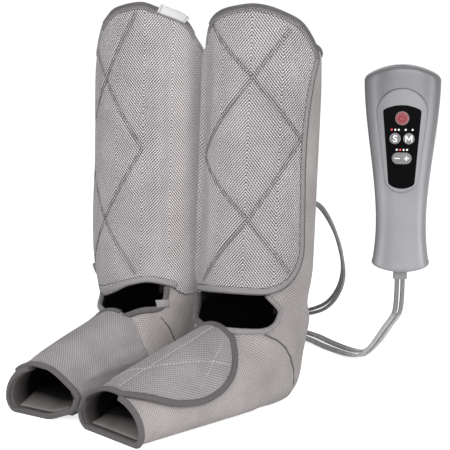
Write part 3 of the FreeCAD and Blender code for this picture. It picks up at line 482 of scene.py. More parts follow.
# stitches: short thread dashes along lines, made by nodes
sewing = {"edge": (0.0026, 0.0019, 0.0005), "quilt": (0.003, 0.0022, 0.00045),  # pitch, dash and thread
          "instep": (0.0034, 0.0026, 0.0006), "patch": (0.003, 0.0021, 0.0004),
          "tag": (0.0022, 0.0016, 0.0004)}


def stitchTree():
    tree = bpy.data.node_groups.new("stitchRow", "GeometryNodeTree")
    face = tree.interface
    face.new_socket("Geometry", in_out="INPUT", socket_type="NodeSocketGeometry")
    for name, value in zip(("Pitch", "Dash", "Thread"), sewing["quilt"]):
        socket = face.new_socket(name, in_out="INPUT", socket_type="NodeSocketFloat")
        socket.default_value = value
    face.new_socket("Material", in_out="INPUT", socket_type="NodeSocketMaterial")
    face.new_socket("Geometry", in_out="OUTPUT", socket_type="NodeSocketGeometry")
    inp = tree.nodes.new("NodeGroupInput").outputs
    out = tree.nodes.new("NodeGroupOutput").inputs

    def step(kind, inputs, **settings):
        return addNode(tree, kind, inputs, **settings).outputs[0]

    line = step("GeometryNodeMeshToCurve", {"Mesh": inp["Geometry"]})
    spaced = step("GeometryNodeResampleCurve", {"Curve": line, "Length": inp["Pitch"]}, mode="LENGTH")
    way = step("GeometryNodeInputTangent", {})
    turn = step("FunctionNodeAlignRotationToVector", {"Vector": way}, axis="X")
    ball = step("GeometryNodeMeshUVSphere", {"Segments": 6, "Rings": 4, "Radius": 1.0})
    half = step("ShaderNodeMath", {0: inp["Dash"], 1: 0.5}, operation="MULTIPLY")
    size = step("ShaderNodeCombineXYZ", {0: half, 1: inp["Thread"], 2: inp["Thread"]})
    placed = step("GeometryNodeInstanceOnPoints",
                  {"Points": spaced, "Instance": ball, "Rotation": turn, "Scale": size})
    real = step("GeometryNodeRealizeInstances", {"Geometry": placed})
    done = step("GeometryNodeSetMaterial", {"Geometry": real, "Material": inp["Material"]})
    tree.links.new(done, out["Geometry"])
    return tree


stitchNodes = stitchTree()


def stitches(name, lines, material, kind):
    points = []
    edges = []
    for path in lines:
        first = len(points)
        points += [tuple(p) for p in path]
        edges += [(k, k + 1) for k in range(first, len(points) - 1)]
    mesh = bpy.data.meshes.new(name)
    mesh.from_pydata(points, edges, [])
    obj = makeObject(name, mesh)
    mod = obj.modifiers.new("stitchRow", "NODES")
    mod.node_group = stitchNodes
    values = dict(zip(("Pitch", "Dash", "Thread"), sewing[kind]), Material=material)
    for item in stitchNodes.interface.items_tree:
        if item.in_out == "INPUT" and item.name in values:
            mod[item.identifier] = values[item.name]
    return bake(obj)


# cloth: a pinned sheet swells under pressure, then its rise is capped
clothFrames = 20
clothSettings = {"vertex_group_mass": "sewn", "use_pressure": True, "uniform_pressure_force": 4.0,
                 "quality": 5, "mass": 0.3, "tension_stiffness": 20, "compression_stiffness": 20,
                 "shear_stiffness": 10, "bending_stiffness": 0.6}


def swell(name, points, faces, hold, rise):  # points in metres; hold is 1 where the cloth is sewn down
    points = np.asarray(points, float)
    obj = makeObject(name, meshFrom(name, points, faces))
    group = obj.vertex_groups.new(name="sewn")
    for k, weight in enumerate(hold):
        if weight > 0:
            group.add([k], float(weight), "REPLACE")
    mod = obj.modifiers.new("cloth", "CLOTH")
    for key, value in clothSettings.items():
        setattr(mod.settings, key, value)
    mod.settings.effector_weights.gravity = 0.0
    mod.point_cache.frame_start = 1
    mod.point_cache.frame_end = clothFrames
    for step in range(1, clothFrames + 1):
        scene.frame_set(step)
    depsgraph = bpy.context.evaluated_depsgraph_get()
    result = obj.evaluated_get(depsgraph).to_mesh()
    moved = np.zeros(len(points) * 3)
    result.vertices.foreach_get("co", moved)
    obj.evaluated_get(depsgraph).to_mesh_clear()
    lift = np.sum((moved.reshape(-1, 3) - points) * vertexNormals(points, faces), axis=1)
    bpy.data.objects.remove(obj)
    scene.frame_set(1)
    top = max(np.percentile(lift, 97), 1e-6)
    print("swelled", name, "by", round(top / mm, 2), "mm before the cap")
    return np.clip(lift / top, -0.2, 1.15) * rise


# leg wraps, drawn in the boot's own millimetres: toes -Y, +X outwards
calf = {"axisY": -42.4, "lean": 3.0, "radius": 61.0, "bottom": 106.0, "rearRim": 380.0, "frontRim": 374.0,
        "liningRadius": 53.0, "rimStart": 150.0, "rimEnd": 235.0, "outerRim": 11.0, "bulge": 3.4, "wall": 2.6}
foot = {"toeY": -242.0, "floorCorner": 16.0, "seam": 30.0, "wall": 5.0,
        "halfWidths": ((-242, 45.0), (-100, 50.0), (-40, 45.0)),
        "heights": ((-242, 47.0), (-100, 86.0), (-40, 86.0)),
        "heelWidth": ((0, 36.0), (12, 45.0), (50, 53.0), (114, 61.0)),
        "heelDepth": ((0, 52.0), (12, 58.0), (50, 60.0), (114, 61.0)),
        "heelMiddle": ((0, -45.0), (12, -46.0), (50, -43.0), (114, -36.4)),
        "fanY": -45.0, "collar": 89.0, "underlap": 10.0, "padding": 4.0, "outerRise": (-78.0, -56.0),
        "innerRise": (-84.0, -71.0), "plateau": -106.0}


def leanCalf(x, y, z):
    turn = math.radians(calf["lean"])
    return np.stack([x, y * math.cos(turn) + z * math.sin(turn) + calf["axisY"],
                     -y * math.sin(turn) + z * math.cos(turn)], axis=-1)


def calfAxis(z):  # how far back the leaning calf's middle is at a height
    return calf["axisY"] + z * math.sin(math.radians(calf["lean"]))


def calfMiddle(z):
    return leanCalf(np.zeros_like(z), np.zeros_like(z), z)


def calfPoint(theta, z, grow=0.0):
    theta, z, grow = np.broadcast_arrays(np.asarray(theta, float), np.asarray(z, float), grow)
    reach = calf["radius"] + grow
    return leanCalf(reach * np.cos(np.radians(theta)), reach * np.sin(np.radians(theta)), z)


def rimHeight(theta):
    rise = calf["frontRim"] - calf["rearRim"]
    return (calf["rearRim"] + rise * smoothStep(calf["rimStart"], calf["rimEnd"], theta)
            + calf["outerRim"] * (1 - smoothStep(5, 55, theta)))


def bulge(points):  # the cover stands out a little round the outer and rear calf
    z = points[..., 2]
    away = np.stack([points[..., 0], points[..., 1] - calfAxis(z), np.zeros_like(z)], axis=-1)
    theta = np.degrees(np.arctan2(away[..., 1], away[..., 0]))
    theta = np.where(theta < -90, theta + 360, theta)
    share = smoothStep(106, 150, z) * (1 - 0.6 * smoothStep(330, 390, z)) * (1 - smoothStep(120, 165, theta))
    return points + unit(away) * (calf["bulge"] * share)[..., None]


def smoothMax(a, b, soft):
    return 0.5 * (a + b + np.sqrt((a - b) ** 2 + soft ** 2))


def sleeveAcross(y, z):
    half = stationAt(foot["halfWidths"], y)
    high = stationAt(foot["heights"], y)
    corner = foot["floorCorner"]
    low = half - corner + np.sqrt(np.maximum(0.0, corner ** 2 - (corner - z) ** 2))
    up = half * np.sqrt(np.maximum(0.0, 1 - ((z - corner) / (high - corner)) ** 2))
    return np.where(z < corner, low, up) * (1 - 0.3 * smoothStep(-84, -52, y))


def heelAcross(y, z):
    share = (y - through(foot["heelMiddle"], z)) / through(foot["heelDepth"], z)
    return through(foot["heelWidth"], z) * np.sqrt(np.maximum(0.0, 1 - share ** 2))


def padding(z):  # the foot's wall stands outside the line of the lasts
    return foot["padding"] * (1 - smoothStep(88, 112, z))


def heelOut(psi, z):  # distance from the fan's middle to the heel, along one direction
    wide = through(foot["heelWidth"], z)
    deep = through(foot["heelDepth"], z)
    off = through(foot["heelMiddle"], z) - foot["fanY"]
    c = math.cos(math.radians(psi))
    s = math.sin(math.radians(psi))
    qa = c * c / wide ** 2 + s * s / deep ** 2
    qb = -2 * off * s / deep ** 2
    qc = off ** 2 / deep ** 2 - 1
    return (-qb + np.sqrt(qb ** 2 - 4 * qa * qc)) / (2 * qa) + padding(z)


def footAcross(y, z):
    return smoothMax(sleeveAcross(y, z), heelAcross(y, z), 12.0) - 1.5 + padding(z)


def collarTop(y, side):  # height of the foot part's upper edge
    if y < foot["plateau"] and side < 0:
        return foot["seam"] + 1.0
    half = stationAt(foot["halfWidths"], y)
    high = stationAt(foot["heights"], y)
    corner = foot["floorCorner"]
    crown = corner + (high - corner) * math.sqrt(1 - (foot["underlap"] / half) ** 2)
    level = crown + (foot["collar"] - crown) * float(smoothStep(foot["plateau"], foot["plateau"] + 10, y))
    start, end = foot["outerRise"] if side > 0 else foot["innerRise"]
    share = min(1.0, max(0.0, (y - start) / (end - start)))
    return level + (calf["bottom"] - level) * (1 - math.sqrt(1 - share ** 2))


footPlanes = np.concatenate([np.linspace(foot["toeY"], foot["plateau"] - 0.5, 30),
                             np.linspace(foot["plateau"] + 0.5, foot["fanY"], 20)])
footColumns = [(1, float(y)) for y in footPlanes]  # (side, y) planes, or ("fan", angle) round the heel
footColumns += [("fan", float(angle)) for angle in np.linspace(0, 180, 31)[1:-1]]
footColumns += [(-1, float(y)) for y in footPlanes[::-1]]

slit = {"sweep": 17.0, "fade": 42.0, "rise": 24.0, "outerTop": 126.0, "innerTop": 112.0}
rowCount = {"floor": 6, "corner": 6, "wall": 18, "calf": 70}


def footColumn(kind, place):
    floor = np.linspace(0, 1, rowCount["floor"])
    low = foot["floorCorner"] * (1 - np.cos(np.linspace(0, math.pi / 2, rowCount["corner"] + 1)[1:]))
    top = calf["bottom"] if kind == "fan" else collarTop(place, kind)
    wall = foot["floorCorner"] + (top - foot["floorCorner"]) * np.sin(
        np.linspace(0, math.pi / 2, rowCount["wall"] + 1)[1:]) ** (1.0 if kind != "fan" else 0.9)
    heights = np.concatenate([low, wall])
    if kind == "fan":
        reach = np.concatenate([floor * heelOut(place, np.zeros(1))[0], heelOut(place, heights)])
        x = reach * math.cos(math.radians(place))
        y = foot["fanY"] + reach * math.sin(math.radians(place))
    else:
        reach = np.concatenate([floor * footAcross(place, np.zeros(1))[0],
                                footAcross(np.full_like(heights, place), heights)])
        x = reach * kind
        y = np.full_like(reach, place)
    return np.stack([x, y, np.concatenate([np.zeros(rowCount["floor"]), heights])], axis=1)


def crease(points):  # slack in the cloth, a few shallow folds round the ankle and heel
    x, y, z = points[:, 0], points[:, 1], points[:, 2]
    ankle = np.exp(-((z - 84) / 34) ** 2) * smoothStep(-112, -70, y)
    fold = np.sin(z / 7.5 + x / 21 - y / 17) * 0.5 + np.sin(z / 13 - x / 11 + y / 23)
    sleeve = smoothStep(20, 45, z) * (1 - smoothStep(-130, -95, y))
    wave = np.sin(y / 19 + z / 16) + 0.6 * np.sin(y / 11 - z / 23 + x / 40)
    return 0.9 * ankle * fold + 0.5 * sleeve * wave


def slitSweep(theta, first, z):  # the cover's outer front edge comes forward above the ankle opening
    share = 1 - smoothStep(first, first + slit["fade"], theta)
    return slit["sweep"] * share * smoothStep(calf["bottom"], calf["bottom"] + slit["rise"], z)


def calfTurn(point):  # a collar point's direction from the calf's middle, in degrees from the outer side
    theta = math.degrees(math.atan2(point[1] - calfAxis(calf["bottom"]), point[0]))
    return theta + 360 if theta < -90 else theta


def wrapSheet():  # one cloth from the sole, up the heel and round the calf
    columns = np.array([footColumn(*c) for c in footColumns])
    rows = columns.shape[1]
    points = [tuple(p) for column in columns for p in column]
    index = np.arange(len(points)).reshape(len(columns), rows)
    runs = np.linalg.norm(np.diff(columns, axis=1), axis=2)
    climb = np.concatenate([np.zeros((len(columns), 1)), np.cumsum(runs, axis=1)], axis=1)
    rim = columns[:, rowCount["floor"] + rowCount["corner"], :]
    along = runLength(rim)
    uvs = [(along[c], climb[c, r]) for c in range(len(columns)) for r in range(rows)]
    faces = []
    for c in range(len(columns) - 1):
        for r in range(rows - 1):
            faces.append((index[c, r], index[c, r + 1], index[c + 1, r + 1], index[c + 1, r]))
    tall = [c for c in range(len(columns)) if columns[c, -1, 2] > calf["bottom"] - 0.01]
    last = None
    first = None
    for c in tall:
        collar = columns[c, -1]
        theta = calfTurn(collar)
        share = np.linspace(0, 1, rowCount["calf"] + 1)[1:]
        z = calf["bottom"] + (rimHeight(theta) - calf["bottom"]) * share
        first = theta if first is None else first
        place = calfPoint(theta - slitSweep(theta, first, z), z)
        start = collar - calfPoint(theta, calf["bottom"])
        place = place + start * np.exp(-(z - calf["bottom"]) / 9)[:, None]
        strip = [index[c, -1]] + list(range(len(points), len(points) + len(place)))
        points += [tuple(p) for p in place]
        uvs += [(along[c], climb[c, -1] + h - calf["bottom"]) for h in z]
        if last is not None:
            for r in range(len(strip) - 1):
                faces.append((last[r], last[r + 1], strip[r + 1], strip[r]))
        last = strip
    return np.array(points), faces, np.array(uvs) * mm, columns


def bootMiddle(points, below, lowest):  # a line of middles through foot and leg, for outward directions
    return np.stack([np.zeros(len(points)), np.clip(points[:, 1], -200, -43),
                     np.maximum(points[:, 2] - below, lowest)], axis=1)


wrapPoints, wrapFaces, wrapUvs, wrapColumns = wrapSheet()
wrapFaces = facePointsOut(wrapPoints, wrapFaces, bootMiddle(wrapPoints, 0, 30))
wrapPoints = wrapPoints + vertexNormals(wrapPoints, wrapFaces) * crease(wrapPoints)[:, None]
wrapPoints[:, 2] = np.maximum(wrapPoints[:, 2], 0.0)
wrapPoints = bulge(wrapPoints)
print("wrap sheet:", len(wrapPoints), "points")


def cleanMesh(mesh, merge=0.0001):
    work = bmesh.new()
    work.from_mesh(mesh)
    bmesh.ops.remove_doubles(work, verts=work.verts, dist=merge)
    bmesh.ops.dissolve_degenerate(work, edges=work.edges, dist=1e-6)
    bmesh.ops.recalc_face_normals(work, faces=work.faces)
    work.to_mesh(mesh)
    work.free()
    mesh.polygons.foreach_set("use_smooth", [True] * len(mesh.polygons))
    mesh.update()
    return mesh


# hoses first, on the routes of the part's source
hose = {"diameter": 0.0045, "pitch": 5.6, "lead": 22.0, "grommetFace": 75.1, "grommetHeight": 214.0,
        "plugLow": -9.2,
        "left": {"drop": 30.0, "row": -2.8, "sag": {12: 2.0, 13: 4.0, 14: 5.0, 15: 2.5}, "route": (
            (263, -45, 119), (229, -4, 94), (192, 40, 64), (155, 84, 37), (118, 124, 14), (80, 152, 3.4),
            (39, 164, 3.4), (-1, 184, 3.4), (-38, 186, 4), (-58, 160, 9), (-45, 128, 24), (-8, 108, 44),
            (35, 92, 62), (72, 80, 72), (101, 81, 86), (115, 90, 115), (110, 91, 150), (99, 83, 184))},
        "right": {"drop": 24.0, "row": 2.8, "sag": {}, "route": (
            (263, -38, 122), (229, 6, 99), (192, 52, 69), (155, 97, 41), (118, 139, 17), (80, 170, 3.4),
            (38, 184, 3.4), (-5, 206, 3.4), (-50, 208, 3.4), (-86, 184, 7), (-102, 148, 30), (-104, 122, 75),
            (-100, 106, 125), (-97, 96, 172))},
        "lengths": {"left_calf_hose": 0.863, "left_foot_hose": 0.883, "right_calf_hose": 0.797,
                    "right_foot_hose": 0.810}}


def hosePoints(sideName, row):
    aside = row * hose["pitch"] / 2
    facts = hose[sideName]
    start = placeController(np.array([aside, facts["row"], hose["plugLow"]])) / mm - shift
    ends = []
    for reach in (0.0, hose["lead"]):
        spot = leanCalf(*np.array([aside, hose["grommetFace"] + reach, hose["grommetHeight"]]))
        ends.append(placeWrap(spot, pair["sides"][sideName]) / mm - shift)
    points = [start, start - np.array([0, 0, facts["drop"]])]
    line = np.array([(controller["x"], controller["y"], 0.0), *facts["route"], ends[1]], float)
    before = None
    for k in range(1, len(line) - 1):
        way = line[k + 1] - line[k - 1]
        across = unit(np.array([-way[1], way[0], 0.0]))
        if before is not None and across @ before < 0:
            across = -across
        before = across
        sag = facts["sag"].get(k - 1, 0.0) if row > 0 else 0.0  # the outer hose of the loop hangs lower
        points.append(line[k] - across * aside + np.array([0.6 * sag, 0.0, -sag]))
    return (np.array(points + [ends[1], ends[0]]) + shift) * mm


def layHose(sideName, kind, row):
    node = sideName + "_" + kind.lower() + "_hose"
    points = hosePoints(sideName, row)
    curve = bpy.data.curves.new(node + "_line", "CURVE")
    curve.dimensions = "3D"
    spline = curve.splines.new("NURBS")
    spline.points.add(len(points) - 1)
    for k, p in enumerate(points):
        spline.points[k].co = (p[0], p[1], p[2], 1.0)
    spline.order_u = 3
    spline.use_endpoint_u = True
    spline.resolution_u = 8
    curve.bevel_depth = hose["diameter"] / 2
    curve.bevel_resolution = 3
    curve.use_fill_caps = True
    obj = makeObject(sideName + kind + "Hose", curve, finish["vinyl"])
    attach(obj, "wraps", "hose_vinyl", node)


for sideName in pair["sides"]:
    for kind, row in (("Calf", -1), ("Foot", 1)):
        layHose(sideName, kind, row)
print("hoses laid")


# wrap bodies, linings, insoles and bindings
binding = {"rim": (7.0, 5.8), "toe": (6.6, 4.8), "slit": (7.0, 6.0), "heelSeam": (1.8, 1.6),  # width, height
           "toeEnd": 18.0, "toeLow": 2.6, "rimDrop": 2.0, "rimInset": 2.2, "slitTaper": 0.6}
lining = {"reach": (-22, 220), "columns": 61, "rows": 40, "bottom": 104.0, "rimDrop": 2.0, "cell": 9.0,
          "puff": 1.1, "thick": 1.4}


def lineInside(mesh, count):  # the inner faces and edges of a closed sheet take the second material
    which = np.zeros(len(mesh.polygons), dtype=np.int32)
    which[count:] = 1
    mesh.polygons.foreach_set("material_index", which)
    return mesh


def buildWrapBody(sideName, side):
    name = sideName + "WrapBody"
    placed = placeWrap(wrapPoints, side)
    faces = wrapFaces if side > 0 else flip(wrapFaces)
    calfPart = smoothStep(100, 112, wrapPoints[:, 2])
    thick = (foot["wall"] + (calf["wall"] - foot["wall"]) * calfPart) * mm
    points, closed, uvs = closeSheet(placed, faces, wrapUvs, thick)
    mesh = lineInside(meshFrom(name, points, closed, uvs), len(faces))
    obj = makeObject(name, cleanMesh(mesh), finish["cover"], finish["inside"])
    subdivide(obj)
    attach(obj, "wraps", "mesh_cloth", sideName + "_calf_cover", sideName + "_foot_cover")


def buildLining(sideName, side):
    name = sideName + "CalfLining"
    theta = np.linspace(*lining["reach"], lining["columns"])
    t = np.linspace(0, 1, lining["rows"])[:, None]
    z = lining["bottom"] + (rimHeight(theta) - lining["rimDrop"] - lining["bottom"]) * t
    cell = np.sin(z / lining["cell"]) * lining["puff"]
    cell = cell * smoothStep(0.0, 0.1, t) * (1 - smoothStep(0.9, 1.0, t))
    grid = calfPoint(theta, z, calf["liningRadius"] - calf["radius"] + 0.6 - cell * 0.6)
    points = placeWrap(grid.reshape(-1, 3), side)
    around = np.broadcast_to(np.radians(theta) * calf["liningRadius"], z.shape)
    uvs = np.stack([around, z], axis=-1).reshape(-1, 2) * mm
    middle = placeWrap(calfMiddle(np.array([250.0])), side)[0]
    faces = facePointsOut(points, gridFaces(*z.shape), middle)
    points, closed, uvs = closeSheet(points, faces, uvs, np.full(len(points), -lining["thick"] * mm))
    obj = makeObject(name, cleanMesh(meshFrom(name, points, closed, uvs)), finish["lining"])
    attach(obj, "wraps", "lining_cloth", sideName + "_calf_lining", sideName + "_calf_bladder")


def surfaceOut(points):  # rough outward direction of a boot edge
    return unit(points - bootMiddle(points, 6, 20))


def mirrorOut(out, side):  # outward directions from boot frame to frame
    return placeWrap(out, side) - placeWrap(np.zeros_like(out), side)


def bootBand(name, path, side, kind, material, upright=False, endShare=1.0):
    path = resample(path, 3.0)
    out = np.tile([[0.0, 0.0, 1.0]], (len(path), 1)) if upright else surfaceOut(path)
    width = binding[kind][0] * np.linspace(1, endShare, len(path))
    obj = band(name, placeWrap(path, side), mirrorOut(out, side), width * mm, binding[kind][1] * mm, material)
    attach(obj, "wraps", "mesh_cloth")


def rimPath():
    theta = np.linspace(6, 158, 74)
    return bulge(calfPoint(theta, rimHeight(theta) - binding["rimDrop"], -binding["rimInset"]))


def slitPath(inner):
    which = -1 if inner else 1
    edge = wrapColumns[[c for c, (kind, y) in enumerate(footColumns) if kind == which and y >= -104.5], -1]
    edge = edge[::-1] if inner else edge
    rise = edge[edge[:, 2] < calf["bottom"] - 0.01]
    theta = calfTurn(edge[len(rise)])
    z = np.linspace(calf["bottom"], slit["innerTop"] if inner else slit["outerTop"], 10)
    return np.vstack([rise, bulge(calfPoint(theta if inner else theta - slitSweep(theta, theta, z), z))])


def toePath():
    front = wrapColumns[0]
    back = wrapColumns[-1]
    path = np.vstack([front[::-1], back[1:][back[1:, 2] < binding["toeEnd"]]])
    path[:, 2] = np.maximum(path[:, 2], binding["toeLow"])
    return path


heelSeam = {True: ((-84, 88), (-78, 78), (-70, 66), (-64, 54), (-56, 41), (-50, 26), (-47, 8)),  # inner side
            False: ((-72, 85), (-58, 77), (-48, 68), (-38, 55), (-29, 38), (-24, 22), (-22, 6))}


def seamPath(inner):  # join of heel panel and foot side, from the slit's end down to the sole
    y, z = np.array(heelSeam[inner], float).T
    x = np.where(y <= foot["fanY"], footAcross(y, z), heelAcross(y, z) + padding(z))
    return np.stack([-x if inner else x, y, z], axis=1)


insole = {"front": -238.0, "heel": -18.0, "halfWidth": 36.0, "under": 5.2, "top": 16.6, "droop": 9.0,
          "puff": 3.0, "heelRound": 34.0, "heelSlim": 4.0, "channels": (-200, -160, -120, -80)}


def insoleOutline(y):
    share = np.clip((insole["heel"] - y) / insole["heelRound"], 0, 1)
    half = insole["halfWidth"] - insole["heelSlim"] * smoothStep(-120, -40, y)
    return half * np.sqrt(share * (2 - share))


def buildInsole(sideName, side, lift):
    name = sideName + "Insole"
    points = insoleGrid.copy()
    droop = insole["droop"] * (1 - smoothStep(-238, -205, points[:, 1]))
    points[:, 2] = insole["top"] + (lift / mm - droop)
    placed = placeWrap(points, side)
    faces = insoleFaces if side > 0 else flip(insoleFaces)
    thick = placed[:, 2] - insole["under"] * mm
    points, closed, uvs = closeSheet(placed, faces, insoleGrid[:, :2] * mm, thick)
    obj = makeObject(name, cleanMesh(meshFrom(name, points, closed, uvs), 1e-5), finish["insole"])
    subdivide(obj)
    attach(obj, "wraps", "insole_cloth", sideName + "_insole", sideName + "_foot_bladder")


insoleRows = np.concatenate([np.linspace(insole["front"], -60, 46),
                             np.linspace(-58, insole["heel"] - 0.05, 18)])
insoleAcross = np.linspace(-1, 1, 21)
insoleGrid = np.array([(insoleOutline(y) * s, y, 0.0) for y in insoleRows for s in insoleAcross])
insoleX, insoleY = insoleGrid[:, 0], insoleGrid[:, 1]
insoleEdge = (np.abs(insoleX) > insoleOutline(insoleY) - 1.5) | (insoleY < insole["front"] + 1)
insoleEdge = insoleEdge | (insoleY > insole["heel"] - 3)
insoleChannel = np.min([np.abs(insoleY - c) for c in insole["channels"]], axis=0) < 2.2
insoleHold = (insoleEdge | insoleChannel).astype(float)
insoleFaces = facePointsOut(insoleGrid, gridFaces(len(insoleRows), len(insoleAcross)), np.array([0, 0, -1.0]))
insoleLift = swell("insoleSheet", insoleGrid * mm, insoleFaces, insoleHold, insole["puff"] * mm)

for sideName, side in pair["sides"].items():
    buildWrapBody(sideName, side)
    buildLining(sideName, side)
    buildInsole(sideName, side, insoleLift)
    # painted shade: the left boot's rim takes the darker copy of the tape, the right boot's the lighter
    rimTape = finish["darkAndShadedBinding" if side > 0 else "binding"]
    bootBand(sideName + "RimBinding", rimPath(), side, "rim", rimTape, upright=True)
    bootBand(sideName + "ToeBinding", toePath(), side, "toe", finish["darkAndShadedBinding"])
    for label, inner in (("Outer", False), ("Inner", True)):
        # painted shade: the inner slit edge takes the darker copy of the tape
        slitTape = finish["darkAndShadedBinding" if inner else "binding"]
        bootBand(sideName + label + "SlitBinding", slitPath(inner), side, "slit", slitTape,
                 endShare=1.0 if inner else binding["slitTaper"])
        # painted shade: a dark tape along each heel seam stands for the seam's shadow
        bootBand(sideName + label + "HeelSeam", seamPath(inner), side, "heelSeam", finish["seam"])
print("wrap bodies sewn")


# calf flaps: quilted front panels that run on over the inner calf
flap = {"radius": 64.5, "thick": 5.8, "thin": 2.6, "tuck": -200.0, "edge": 2.0, "corner": 50.0, "puff": 3.8,
        "groove": 2.2, "seamGap": 1.5, "hinge": 220.0, "rows": 116, "edgeStrip": (3.2, 6.2, 4.0),
        "topBinding": (1.4, 1.8, 5.4), "edgeCord": (0.2, 1.5, 4.2)}  # tapes: inset, width, height
flap["left"] = {
    "middleX": 4.49, "slim": 0.0, "taper": 0.0, "swing": 0.0, "sewn": -136.0, "strip": -150.0, "spine": -60.5,
    "slant": 1.0, "bound": (-117.0, 20.0), "flatter": 0.0,
    "top": ((-200, 380), (-152, 380), (-140, 382), (-133, 387), (-123, 400.6), (-116, 409), (-100, 418.7),
            (-75, 425.6), (-58, 427.5), (-45, 425), (-35, 420.5), (-20, 410.7), (-10, 397.5), (-5, 390),
            (0, 380.5), (2, 375)),
    "bottom": ((-200, 106), (-160, 110), (-130, 118.5), (-105, 123), (-82, 126), (-52, 127.5), (2, 127)),
    "free": ((140, 2.1), (174, 2.1), (220, 0.3), (268, -1.4), (307, -0.4), (353, 6), (375, 12), (400, 12)),
    "quilt": (((-112.4, 408), (-58.2, 354), (-8, 292), (-57.5, 206), (-113, 132)),
              ((-24.2, 405), (-58.2, 354), (-120, 268), (-57.5, 206), (-14, 150)))}
flap["right"] = {
    "middleX": 0.5, "slim": 2.6, "taper": 4.5, "swing": 3.2, "sewn": -186.0, "strip": -157.0, "spine": -117.5,
    "slant": -1.0, "bound": (-174.0, -62.0), "flatter": 0.8,
    "top": ((-200, 382), (-190, 385), (-178, 393.7), (-167, 407), (-159, 413), (-142, 420), (-128, 425),
            (-116, 429), (-104.5, 428.3), (-92.5, 425.6), (-81, 421.4), (-72, 415), (-59.6, 404.7),
            (-48.7, 389.8), (-40, 381), (-25, 376), (2, 372)),
    "bottom": ((-200, 100), (-162, 104), (-154, 110), (-139, 115), (-125, 117), (-107, 113), (-90, 107),
               (-79, 104), (-64, 101), (-40, 100), (2, 102)),
    "free": ((140, 2), (400, 2)),
    "quilt": (((-107.7, 418), (-69.5, 344), (-14, 268), (-70.5, 185), (-113, 126)),
              ((-38, 380), (-69.5, 344), (-116.9, 268), (-70.5, 185), (-30, 122)))}
flapCorner = flap["edge"] - math.degrees(flap["corner"] / flap["radius"])  # start of the round lower corner


def flapPoint(alpha, z, facts, grow=0.0):
    alpha, z, grow = np.broadcast_arrays(np.asarray(alpha, float), np.asarray(z, float), grow)
    reach = flap["radius"] + grow - facts["slim"] * (1 - smoothStep(-45, -15, alpha))
    reach = reach - facts["taper"] * (1 - smoothStep(92, 140, z))
    reach = reach + facts["swing"] * smoothStep(-30, -8, alpha)
    turn = np.radians(alpha)
    away = leanCalf(facts["middleX"] + reach * np.cos(turn), reach * np.sin(turn), z)
    flush = calfPoint(alpha, z, 1.6 * smoothStep(-200, -184, alpha) + grow)
    share = smoothStep(-152, -130, alpha)[..., None]
    return flush + (away - flush) * share


def flapLow(alpha, facts):  # lower edge, with a round corner at the free edge
    corner = flap["corner"]
    run = np.clip(np.radians(np.asarray(alpha, float) - flapCorner) * flap["radius"], 0, corner)
    return through(facts["bottom"], alpha) + corner - np.sqrt(np.maximum(corner ** 2 - run ** 2, 0.0))


def lineDistance(flat, lines):  # distance of flat points to a set of sewn lines
    best = np.full(flat.shape[:-1], 1e9)
    for line in lines:
        for a, b in zip(line[:-1], line[1:]):
            a = np.array(a, float)
            run = np.array(b, float) - a
            t = np.clip(((flat - a) @ run) / (run @ run), 0, 1)
            best = np.minimum(best, np.linalg.norm(flat - a - t[..., None] * run, axis=-1))
    return best


def flapSheet(sideName):
    facts = flap[sideName]
    rows = flap["rows"]
    rounding = np.sin(np.linspace(0, math.pi / 2, 18))
    alphas = np.concatenate([np.linspace(flap["tuck"], flapCorner, 62)[:-1],
                             flapCorner + (flap["edge"] - flapCorner) * rounding])
    low = flapLow(alphas, facts)
    high = through(facts["top"], alphas)
    z = low + (high - low) * np.linspace(0, 1, rows)[:, None]
    turned = alphas + (through(facts["free"], z) - flap["edge"]) * smoothStep(-60, flap["edge"], alphas)
    grid = flapPoint(turned, z, facts)
    flat = np.stack([np.radians(turned) * flap["radius"], z], axis=-1)
    quilt = [[(math.radians(a) * flap["radius"], h) for a, h in line] for line in facts["quilt"]]
    quiltGap = lineDistance(flat, quilt)
    edgeGap = np.minimum.reduce([flat[:, -1:, 0] - flat[:, :, 0], flat[:, :, 0] - flat[:, :1, 0],
                                 flat[-1:, :, 1] - flat[:, :, 1], flat[:, :, 1] - flat[:1, :, 1]])
    points = grid.reshape(-1, 3)
    faces = facePointsOut(points, gridFaces(rows, len(alphas)), calfMiddle(z.ravel()))
    hold = ((edgeGap < 7.0) | (quiltGap < 2.2) | (turned < facts["sewn"])).astype(float).ravel()
    lift = swell(sideName + "FlapSheet", points * mm, faces, hold, flap["puff"] * mm) / mm
    lift = lift - flap["groove"] * np.exp(-(quiltGap.ravel() / 2.6) ** 2)
    lift = lift * (1 - facts["flatter"] * smoothStep(-50, -20, turned.ravel()))
    spread = smoothStep(0, 10, edgeGap) * smoothStep(-150, -134, turned) * (1 - smoothStep(-32, -20, turned))
    thick = flap["thin"] + (flap["thick"] - flap["thin"]) * spread.ravel() + np.maximum(lift, 0)
    across = (np.radians(turned) - math.radians(facts["spine"])) * flap["radius"]
    # groove: mask for the painted shade along the quilting
    return {"facts": facts, "flat": flat, "lift": lift, "quilt": quilt, "faces": faces, "thick": thick * mm,
            "groove": np.exp(-(quiltGap.ravel() / 2.4) ** 2),
            "outer": points + vertexNormals(points, faces) * lift[:, None],
            "uvs": np.stack([across, z * facts["slant"]], axis=-1).reshape(-1, 2) * mm}


def sheetAt(values, sheet, spots, soft):  # a sheet's values at flat spots, weighted over four nearest points
    gaps = np.linalg.norm(sheet["flat"].reshape(-1, 2)[None] - np.asarray(spots)[:, None], axis=2)
    near = np.argsort(gaps, axis=1)[:, :4]
    weight = 1 / (np.take_along_axis(gaps, near, axis=1) + soft)
    return (values[near] * weight[..., None]).sum(axis=1) / weight.sum(axis=1)[:, None]


def liftAt(sheet, spots):  # height of the puffed sheet
    return sheetAt(sheet["lift"][:, None], sheet, spots, 0.2)[:, 0]


